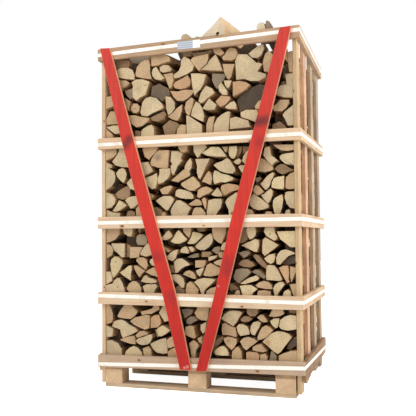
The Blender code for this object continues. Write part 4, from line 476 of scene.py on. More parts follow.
def dressLabel():
    material, tree, shader = newMaterial("coatedLabelPaper", paper["roughness"])
    coords = addNode(tree, "TexCoord").outputs["Object"]
    place = addNode(tree, "SeparateXYZ", {0: coords})
    splitX = (paper["split"] - crate["middleX"]) * mm
    side = addNode(tree, "Math", {0: place.outputs["X"], 1: splitX}, operation="GREATER_THAN")
    rows = addNode(tree, "Math", {0: place.outputs["Z"], 1: paper["rowEvery"] * mm}, operation="MODULO")
    thin = addNode(tree, "Math", {0: rows.outputs[0], 1: paper["rowThick"] * mm}, operation="LESS_THAN")
    soft = addNode(tree, "Math", {0: thin.outputs[0], 1: paper["lineShare"]}, operation="MULTIPLY")
    blues = {0: soft.outputs[0], 6: fromHex(paper["blueHex"]), 7: fromHex(paper["lineHex"])}
    blue = addNode(tree, "Mix", blues, data_type="RGBA")
    sides = {0: side.outputs[0], 6: blue.outputs[2], 7: fromHex(paper["whiteHex"])}
    whole = addNode(tree, "Mix", sides, data_type="RGBA")
    tree.links.new(whole.outputs[2], shader.inputs["Base Color"])
    dress("label", material)


dressLabel()
print("braces, straps and label dressed")

# log ends of each bay between two rails, read off the picture one by one: tone, then corners in x and y; the
# brown and dark tones carry painted shade for ends in shadow as well as the wood's own colour
topBayLogs = {
    "leftDome": ("pale", (113, 76.5), (114, 72), (121, 68), (128, 67.5), (132.5, 70), (134.5, 75),
        (134, 79.5), (126, 79)),
    "leftBrown": ("brown", (113.5, 59.5), (127.5, 60), (128, 66), (121, 67), (116.5, 69.5)),
    "tallDome": ("tan", (135.5, 74), (137, 67), (140, 63), (145, 60), (149, 60.5), (150, 66), (150.3, 74),
        (151.5, 79), (144, 78.3), (136.5, 76.5)),
    "underRail": ("tan", (150.5, 54.5), (162, 53), (169, 57), (170, 61), (162, 63.5), (158, 65),
        (151.5, 66)),
    "paleOval": ("pale", (151.8, 73), (153, 69), (156, 67), (158, 70), (160.5, 74), (164.5, 78), (160, 80),
        (155, 79), (152.5, 76)),
    "flatPale": ("pale", (159.5, 67), (163, 64.8), (168, 65), (171, 68.5), (170, 71), (163, 72.5),
        (160, 71)),
    "leanPost": ("pale", (184, 56.5), (189, 59), (193.5, 65), (191.5, 70.5), (186, 74), (180, 76.5),
        (174, 78), (173, 75), (178.5, 70.5), (180.5, 66), (181, 60)),
    "hook": ("tan", (163.5, 74.5), (172.3, 73), (173.2, 79), (171.3, 87), (169.5, 88.5), (167.5, 84),
        (166, 79)),
    "lens": ("orange", (172.5, 84.5), (175, 81.5), (180, 79), (187, 75), (190, 80), (189.5, 85), (186, 87.5),
        (180, 89), (175, 88)),
    "bowl": ("orange", (170.5, 91), (178, 91.5), (184, 89.8), (193, 90), (192.5, 93.5), (188, 98),
        (183, 100.8), (177, 100.5), (173.5, 97)),
    "slabTop": ("tan", (190.3, 60), (193, 57), (207.5, 53.5), (207.8, 59), (206.5, 63), (200, 69),
        (198.5, 70.6), (195.5, 67)),
    "triangle": ("pale", (215, 54), (217, 57.5), (219.5, 63.5), (222, 70), (210, 70), (201, 69.5),
        (207.2, 63.8), (208.5, 61)),
    "wedgeDown": ("pale", (190.8, 73.5), (198, 73.3), (205.5, 74.5), (203.5, 82), (200, 89.5), (196, 93),
        (194.5, 95.5), (193, 91), (191.5, 82)),
    "greyEnd": ("grey", (211, 72.5), (224.3, 73), (223, 78), (219, 83.5), (216, 88), (213.5, 85), (211, 79)),
    "rightDome": ("tan", (226.5, 50), (230, 47.3), (235, 48.3), (237, 53), (235.5, 58), (231, 60),
        (223, 59.5), (221.5, 57), (224.5, 54)),
    "pinkTop": ("orange", (212, 48.5), (220, 48), (224, 52.5), (221, 55.3), (216, 54)),
    "shortWedge": ("tan", (222.5, 64), (234.5, 64), (232.5, 70), (231, 76), (228.5, 79.5), (226, 77),
        (224, 72)),
    "leaf": ("pale", (220.5, 82), (223, 85), (227, 91), (226.8, 94.8), (222, 94.5), (219, 91),
        (217.5, 86.5)),
    "smallGreen": ("pale", (224, 80.5), (231.5, 80.5), (230, 86), (227.5, 88.5), (225, 85)),
    "dogBone": ("pale", (238, 54.5), (247, 54.5), (251, 58), (256, 62.5), (262, 63.5), (260, 67), (257, 71.2),
        (262.5, 72), (265.5, 73.5), (264.5, 77), (258, 80.5), (250, 80.5), (244, 78.5), (236.5, 79.5),
        (236, 68), (235.5, 61)),
    "domeByGap": ("pale", (248.5, 53.5), (253, 49.5), (259, 45.5), (263, 44), (264, 49), (262, 54), (257, 58),
        (252, 57.5)),
    "behindBrace": ("tan", (268.5, 50.5), (273, 55), (275, 63), (271, 72), (264, 71), (262.8, 62),
        (265, 54)),
    "halfLens": ("orange", (233, 82), (240, 81), (245, 82), (249.5, 84.5), (246, 89), (238, 94), (233, 96)),
    "darkBark": ("dark", (236.5, 100), (241, 94), (250, 87.5), (258, 83.5), (266, 86), (265, 95), (258, 100),
        (254, 107), (247, 108.5), (240, 111)),
    "smallDome": ("pale", (225.5, 106.5), (230, 102.5), (234, 101), (236, 104), (236.5, 109), (230, 109),
        (225.5, 108)),
    "rooster": ("pale", (206, 86), (212, 88.5), (214.5, 93), (209, 97), (203.5, 102), (200.5, 103),
        (198.5, 101), (201, 93)),
    "saddleLeft": ("pale", (209, 98.5), (213, 102), (216.5, 104.5), (214.5, 109.5), (207, 110),
        (202.5, 108.5)),
    "saddleRight": ("orange", (221, 95.5), (229.5, 96.5), (230, 99), (225, 104.5), (220, 106.5), (217, 103.8),
        (215.5, 101.3)),
    "slimLeft": ("tan", (191, 97.5), (193.5, 99), (192.5, 105), (190, 113), (189, 116), (186, 113),
        (184.5, 108), (186, 102)),
    "archRight": ("pale", (195.5, 101.5), (199, 103), (202, 108), (203.5, 114), (203, 121.5), (197, 119),
        (191, 115.5), (192, 109)),
    "lowWedge": ("pale", (186.5, 115.5), (190, 117), (196, 121), (201.5, 124.5), (202, 135), (187, 136)),
    "tallSplit": ("pale", (165.5, 96.5), (170.5, 97), (174.5, 103), (174.5, 108.3), (171.5, 112.5),
        (168, 115), (166, 108)),
    "wingRight": ("tan", (182, 104.5), (181.5, 112), (180, 117), (177, 120.5), (172.5, 119.3), (168, 116.5),
        (172.5, 113), (176.5, 108.5)),
    "greyTop": ("brown", (168.5, 119.8), (175, 121.8), (178.5, 125), (175, 129), (172, 135), (165, 134),
        (161.5, 126)),
    "lowTan": ("tan", (180.5, 124.5), (185.5, 125), (186, 137), (175.5, 138), (177, 129)),
    "roundedTriangle": ("pale", (142, 102), (145, 98), (150, 96.5), (156, 98), (161, 103), (163, 107),
        (160, 109.5), (153, 112.5), (147, 116), (141.5, 115.3), (140, 112)),
    "pithRound": ("tan", (131, 106), (133, 103.3), (136.5, 103.5), (139, 106.5), (138.5, 110.5), (136, 113),
        (132.5, 112.5), (130.3, 109.5)),
    "slimBrown": ("orange", (124.5, 98), (129.8, 101), (128.8, 106), (127.5, 110.5), (125.5, 106)),
    "bigLeft": ("pale", (136, 79.5), (142, 79.3), (149, 81.5), (147, 88), (145, 94.3), (140, 97),
        (136, 100.5), (132.5, 97), (132.3, 90), (133, 86), (131.5, 82.5)),
    "greyFacet": ("grey", (124, 90.5), (131.5, 88), (131.5, 97), (129, 98.5), (126, 95.5)),
    "leftTan": ("tan", (118, 80.5), (126, 80.5), (129.5, 83), (126, 86.5), (119.5, 89)),
    "darkLog": ("dark", (151, 86), (158, 83), (167, 88), (168.5, 94.5), (164, 97), (161, 100.5), (156, 97),
        (150, 95)),
    "bowlLow": ("tan", (128.5, 116), (134, 115.3), (141, 117), (149, 118), (147, 122), (142, 126),
        (136.5, 127.3), (131.5, 124)),
    "wedgeShade": ("brown", (150, 117), (156, 114), (163, 110.8), (165, 114), (163, 118.5), (157, 121),
        (151, 120)),
    "lowDome": ("pale", (148, 126), (151.5, 125), (154, 128), (154.5, 138), (141, 139), (141.5, 131),
        (144, 128.5)),
    "lowBrown": ("brown", (134, 130), (139, 131), (140.5, 139), (133, 139)),
    "leftEdgeUp": ("tan", (106.5, 119), (110, 111.5), (114, 111.5), (118, 123.5), (107, 124.5)),
    "leftEdgeMid": ("pale", (109.5, 127), (113, 125.5), (118.5, 125.5), (121, 133), (115, 134), (111, 131)),
    "leftEdgeTop": ("orange", (107.5, 97), (111, 96), (113.5, 106), (108, 109), (107, 104)),
    "leftEdgeLow": ("tan", (107, 130), (109, 128.5), (112, 134), (114, 140), (107, 140)),
    "lowPair": ("tan", (208.5, 117), (214, 116), (213, 122), (211.5, 134), (206, 134), (206, 124)),
    "lowFan": ("pale", (227, 111.5), (229.8, 112), (229, 120), (228, 133), (213, 134), (213.8, 124.5),
        (217, 118), (222, 114)),
    "lowBlock": ("pale", (230, 118.5), (236, 116.8), (242, 118.8), (248, 120.5), (250, 127), (240, 128),
        (230, 129)),
    "overBlock": ("pale", (240.5, 112.5), (246, 109.8), (257, 109.8), (258, 114), (255, 121.5),
        (248.5, 119.2), (241, 117)),
    "byBraceLow": ("tan", (258.5, 101), (264, 99), (266, 109), (255.5, 109), (255, 106)),
    "rightBig": ("pale", (285, 74), (291.5, 73), (291.8, 97), (284, 97), (276, 94), (277, 88), (281, 84.8),
        (286.5, 84)),
    "rightKnot": ("brown", (281, 81.3), (283.8, 80), (286, 81.8), (284.5, 83.6), (282, 83.8)),
    "rightSliver": ("tan", (287.3, 52.5), (291.8, 51.2), (291.5, 72), (289, 71.5), (288, 62)),
    "rightLens": ("tan", (276, 104), (280, 99.5), (288.5, 99.5), (289, 103), (286, 108), (282, 111),
        (274, 110.5), (271, 107)),
    "rightFan": ("pale", (291.8, 105), (291.8, 125), (288, 125.5), (285, 119), (282.5, 115), (285, 111.5)),
    "rightLow": ("brown", (272, 124), (279, 121), (285.5, 126.5), (285, 132), (271, 132)),
    "topShelf": ("brown", (191, 52.3), (211, 49.8), (208, 53), (193, 56.3)),
    "behindLabel": ("brown", (182, 55.5), (181, 50), (181, 45), (183, 43), (187.5, 43), (189, 38),
        (190.5, 50), (190, 55)),
    "besideLabel": ("straw", (193, 46), (194, 38), (196, 36.5), (198, 36.5), (199.5, 38), (200.5, 46)),
}

secondBayLogs = {
    "cornerTan": ("tan", (105, 150), (116, 150), (116.5, 154), (113, 157.5), (109, 160.5), (105, 160.5)),
    "domeByBrace": ("pale", (112, 161.5), (115, 158), (118, 153.5), (121, 151), (126, 151), (129, 160),
        (130, 167), (121, 166.8), (115, 165)),
    "pinkChip": ("tan", (105, 163), (108.5, 162.2), (112, 165), (112, 168), (109.5, 167.5), (106.5, 164.8)),
    "leftTall": ("pale", (104.5, 168), (107, 165.5), (110, 169), (114, 171.5), (115.3, 176), (115, 181),
        (112, 186), (108.5, 190), (104.5, 191)),
    "drop": ("straw", (115.5, 173.5), (118.5, 169.5), (122, 168), (125, 170), (126.3, 174), (125.5, 178),
        (123, 183), (120, 180.5), (117, 177)),
    "peekLeft": ("pale", (126.5, 183), (130, 179), (133, 177), (138, 190), (133, 190), (129.5, 188.5)),
    "brownRound": ("brown", (114, 194), (117, 191), (122, 188), (126, 186), (129, 189.5), (129, 194),
        (127, 198.5), (121, 199.5), (116, 197.5)),
    "leftRound": ("pale", (104.5, 194), (108, 192.5), (112, 194.5), (115.5, 199), (114.8, 204), (112, 207.5),
        (107, 208.5), (104.5, 207)),
    "crossRight": ("pale", (125, 200.5), (129, 197), (136, 196), (139, 203), (134, 207.5), (130.5, 208.5),
        (127.5, 203.5)),
    "wedgeLeft": ("straw", (119, 200.5), (121, 201), (127, 205.5), (121.5, 209.5), (116, 212), (112.5, 211),
        (116, 206)),
    "lowStrip": ("pale", (105, 210), (112, 212.5), (119.5, 213), (119, 217.5), (105, 217.5)),
    "lowBrown": ("brown", (123, 217.5), (126, 211.5), (129, 210.5), (133, 212), (134.5, 217.5)),
    "lowByBrace": ("tan", (135.5, 209), (138.5, 205), (144, 217.5), (136, 217.5)),
    "topFan": ("tan", (141, 149.5), (150, 148.5), (159, 148.5), (156.5, 151.5), (152, 156), (149, 159.5),
        (145, 156.5)),
    "arcBig": ("tan", (150.5, 162.5), (152, 158.5), (155, 154), (159, 150.5), (169, 150.5), (168.5, 158),
        (168, 163), (167.5, 168), (158, 167.5), (151.5, 165.5)),
    "greyTriangle": ("pale", (140, 163), (148, 162), (153, 171), (149, 173.5), (143, 176)),
    "fanBelow": ("straw", (146, 177.5), (152, 175.5), (156.5, 173), (157.5, 178), (156.5, 184), (155, 188),
        (151.5, 189), (147.5, 185.5), (145, 181)),
    "domeDown": ("pale", (159.5, 169), (163, 168.5), (170, 168.5), (170, 174), (167.5, 179), (163.5, 182.5),
        (158, 184), (157.8, 179), (159.5, 174)),
    "greyLens": ("tan", (159.5, 189.5), (164, 187), (170, 185.5), (172, 187), (169.5, 191), (167, 194),
        (162, 194)),
    "chipByBrace": ("tan", (148.5, 193), (153, 195), (152.5, 197.5), (150, 199.5)),
    "bigWedge": ("pale", (155.5, 201), (159, 198), (163, 196), (170, 196), (173.5, 199), (172, 203),
        (168.5, 209), (166, 210.5), (161, 206)),
    "underBrace": ("brown", (152, 208), (155, 207), (159.5, 209.5), (161.5, 212), (158, 216), (155.5, 217),
        (153, 213)),
    "lowTan": ("tan", (160, 217.5), (162, 213), (164.5, 212), (168, 214.5), (168, 217.5)),
    "slimTop": ("tan", (175, 147), (188, 147), (186.5, 151), (182.5, 152.5), (180, 151.3)),
    "paleTall": ("pale", (171, 151), (177, 151), (182, 153.3), (180.3, 158), (181.5, 160.5), (178, 165),
        (174.5, 173), (172.5, 175), (171, 171), (170.5, 166), (172, 164), (170.3, 161)),
    "midUp": ("pale", (190, 158), (191.5, 162), (191, 168), (189.5, 170.5), (188, 171), (184, 168.5),
        (184.5, 165.5), (187, 161)),
    "leanTan": ("tan", (184, 169), (189, 171.3), (190, 174), (189.5, 175.5), (185, 178), (181, 180),
        (178, 182), (173, 181), (171, 180.5), (175.5, 176.5), (181, 171.5)),
    "tipDown": ("pale", (193, 147.5), (200, 147), (206.5, 147), (203.5, 151), (201, 153), (199.5, 155.5),
        (197.5, 157.5), (196, 156), (193.5, 151.5)),
    "ruled": ("straw", (202, 153), (205.5, 151), (211, 147), (219, 147), (221.5, 149.5), (225, 154),
        (226, 156.5), (216, 156.5), (207, 155.5)),
    "wedgeDown": ("pale", (195, 159), (209, 158.5), (208, 161), (205.5, 166), (203, 172), (201, 176.5),
        (199.8, 179), (198, 177.5), (196.5, 172), (196.8, 166), (195.7, 162)),
    "domeRight": ("pale", (213.5, 165), (216, 163), (222, 161), (226.5, 158), (229, 159.5), (232, 164),
        (234.5, 168), (235, 171), (232, 173.5), (226, 173), (220, 171), (217, 168.5)),
    "lensLong": ("straw", (213, 175), (214.5, 170.5), (217, 171), (222, 173.8), (228, 175), (233, 177.5),
        (233.5, 179), (230, 181), (225, 182.5), (220, 182), (217, 183), (214.5, 184), (213.3, 180)),
    "smallUp": ("tan", (208.5, 171), (211, 174), (212, 178.5), (211, 183), (209.5, 184.5), (205, 182.5),
        (201.5, 181.5), (204, 177), (206.5, 173)),
    "fanMid": ("tan", (181.5, 183), (186, 180.5), (191, 177.5), (193, 176.5), (195.5, 179), (199, 183),
        (200, 186), (197, 188), (193, 190.5), (189, 190.5), (184.5, 188), (181, 185)),
    "lensDown": ("pale", (175, 195.5), (176, 190.5), (179, 189), (184, 190), (190, 192), (192.5, 194.5),
        (193, 198), (191, 198.8), (186, 198.8), (180, 198), (176.5, 196.5)),
    "leafMid": ("tan", (197.5, 193), (198, 190), (202, 187.5), (206, 186.5), (210.5, 188.5), (212, 190.5),
        (208, 193.5), (203, 195.5), (199.5, 198), (197, 196.5)),
    "triMid": ("straw", (211, 194.5), (214, 190.8), (217, 187.5), (219, 190), (221, 193), (222, 195.5),
        (218, 196.5), (214, 196)),
    "fanRight": ("orange", (220.5, 188), (222, 185), (228, 183.5), (235, 184.5), (240, 187), (237, 190),
        (231, 191.5), (226.5, 194), (223.8, 195.3), (221.5, 191.5)),
    "bigBottom": ("pale", (170.5, 211.5), (171, 209), (173, 205), (176.5, 200.5), (180, 200.5), (184, 203),
        (188.5, 206.5), (190.5, 208), (188.5, 211), (185, 214), (179, 215.5), (173, 214.5)),
    "smallLens": ("tan", (188.5, 204), (193, 201), (196, 199), (199, 199.5), (201, 201.5), (201.5, 205),
        (197, 205.5), (191, 205.5)),
    "sliver": ("tan", (201.7, 199.5), (204.5, 197.5), (206, 199), (206.5, 204), (206, 209.5), (204.5, 208),
        (203, 203.5)),
    "squareRound": ("pale", (208.5, 200.5), (214, 199), (221, 199), (222, 203), (221, 208), (218, 211.5),
        (213, 213.5), (207, 214.5), (207, 212), (208, 205)),
    "lowMid": ("tan", (192.5, 213), (194, 209), (196, 207.5), (201, 207.5), (203.5, 210), (205.5, 213),
        (205, 217.5), (191, 217.5)),
    "rightTall": ("pale", (225.5, 202), (227.5, 198.5), (231, 196), (236, 192.5), (240, 196), (236, 211),
        (231.5, 212.5), (230, 213), (228.5, 209.5), (226.5, 205.5)),
    "topChip": ("tan", (221.5, 146.5), (227.5, 146.5), (226.5, 151), (224.8, 152)),
    "roundTop": ("straw", (228.5, 152), (229, 146.5), (236.5, 146), (237, 150), (236, 155), (233.5, 158.5),
        (231, 158), (229, 155.5)),
    "brownSide": ("brown", (238, 146), (241, 146), (240, 152), (236.5, 157), (235.5, 158)),
    "tinyPale": ("straw", (233.5, 162), (236, 159.8), (239, 158.5), (241.3, 160.5), (240, 163.5),
        (237, 164.5)),
    "behindUp": ("pale", (241.8, 161), (243, 156), (246, 151.5), (249, 150), (254, 150), (249, 165),
        (245, 164)),
    "behindLow": ("pale", (238, 166.5), (240.5, 165), (244.5, 165), (249, 168), (244, 175), (240.5, 171)),
    "topBrown": ("brown", (242, 146), (249, 146), (247, 150), (244, 151.5), (242, 153)),
    "postRight": ("pale", (263.5, 155.5), (265, 147.5), (269.5, 146.5), (270.5, 152), (271, 155),
        (274.5, 157.5), (278, 161), (275, 162), (272, 165.3), (269, 162.5), (266, 159)),
    "bigTan": ("tan", (255, 168), (257, 160), (261.5, 158), (265.5, 160), (269.5, 163.3), (272, 166),
        (273, 169), (269, 171), (265, 172), (258, 171)),
    "topRight": ("tan", (273, 144.5), (292.5, 144.5), (292.5, 149.5), (287, 150.5), (281, 150), (277, 148)),
    "rightWedge": ("pale", (279.5, 157), (281.5, 154.5), (286, 153.5), (292.3, 152.5), (292.5, 166.3),
        (290.5, 165.5), (285, 163.5), (281, 160)),
    "lensRight": ("brown", (274, 168.5), (276, 165.5), (280, 163.5), (284, 164), (289.5, 168), (292, 169.5),
        (288, 171.5), (284, 173.5), (281, 174), (277, 171.5)),
    "leanPale": ("pale", (263, 181), (266, 177), (269, 174.5), (272, 172.5), (274, 173), (273.5, 176),
        (271, 181), (269.5, 186), (267, 189), (265, 189.5), (262, 186), (260.3, 183.5)),
    "blockLeft": ("straw", (271.5, 187.5), (272, 182), (274, 178), (277, 177), (284, 176), (284, 187),
        (283, 189), (276, 188.5)),
    "blockRight": ("tan", (285.5, 188), (285.5, 181), (286, 177), (290, 173.5), (292.8, 172), (292.8, 188.5),
        (288, 189)),
    "chipTop": ("grey", (254, 178.5), (259, 176.5), (260.3, 178), (259.5, 180), (256, 182)),
    "leftUnder": ("tan", (253, 190), (255.5, 185), (258.5, 186), (262, 189.5), (263.5, 192), (261.5, 193.3),
        (259.5, 194.5), (257, 195.3), (254.5, 193)),
    "arrowPale": ("pale", (261, 195), (264, 193.7), (267, 191), (270.5, 188.5), (272.5, 191), (272, 196),
        (270.5, 200), (267.5, 203.5), (265, 200.5), (262.5, 197.5)),
    "bigRound": ("pale", (249.5, 200), (251.5, 196), (254, 193.5), (256.5, 196), (260, 198), (264.5, 201.5),
        (268.5, 205), (268, 207.5), (263, 209.5), (258, 210), (253, 208.5), (249.5, 205)),
    "ovalRight": ("straw", (272.5, 205), (273, 200), (275, 197.5), (279, 195.5), (282, 194.5), (283, 200),
        (282, 207), (280.5, 211.5), (276, 212), (273.5, 210)),
    "ovalEdge": ("pale", (284.5, 197), (285.5, 192.5), (288, 191.5), (291, 191.5), (292.5, 196), (292.8, 204),
        (292.3, 208.5), (289.5, 207.5), (286.5, 203.5)),
    "lowRight": ("pale", (283, 214), (286, 210.5), (289.5, 209.5), (291, 212.5), (293, 216.5), (283, 216.5)),
    "lowFlat": ("tan", (262, 214), (266, 211.7), (271, 211.7), (274, 214), (279, 213.5), (281, 216.5),
        (262, 216.5)),
    "lowAtBrace": ("tan", (247.5, 209), (252, 210), (255, 212.5), (257.5, 216.5), (246, 216.5)),
}

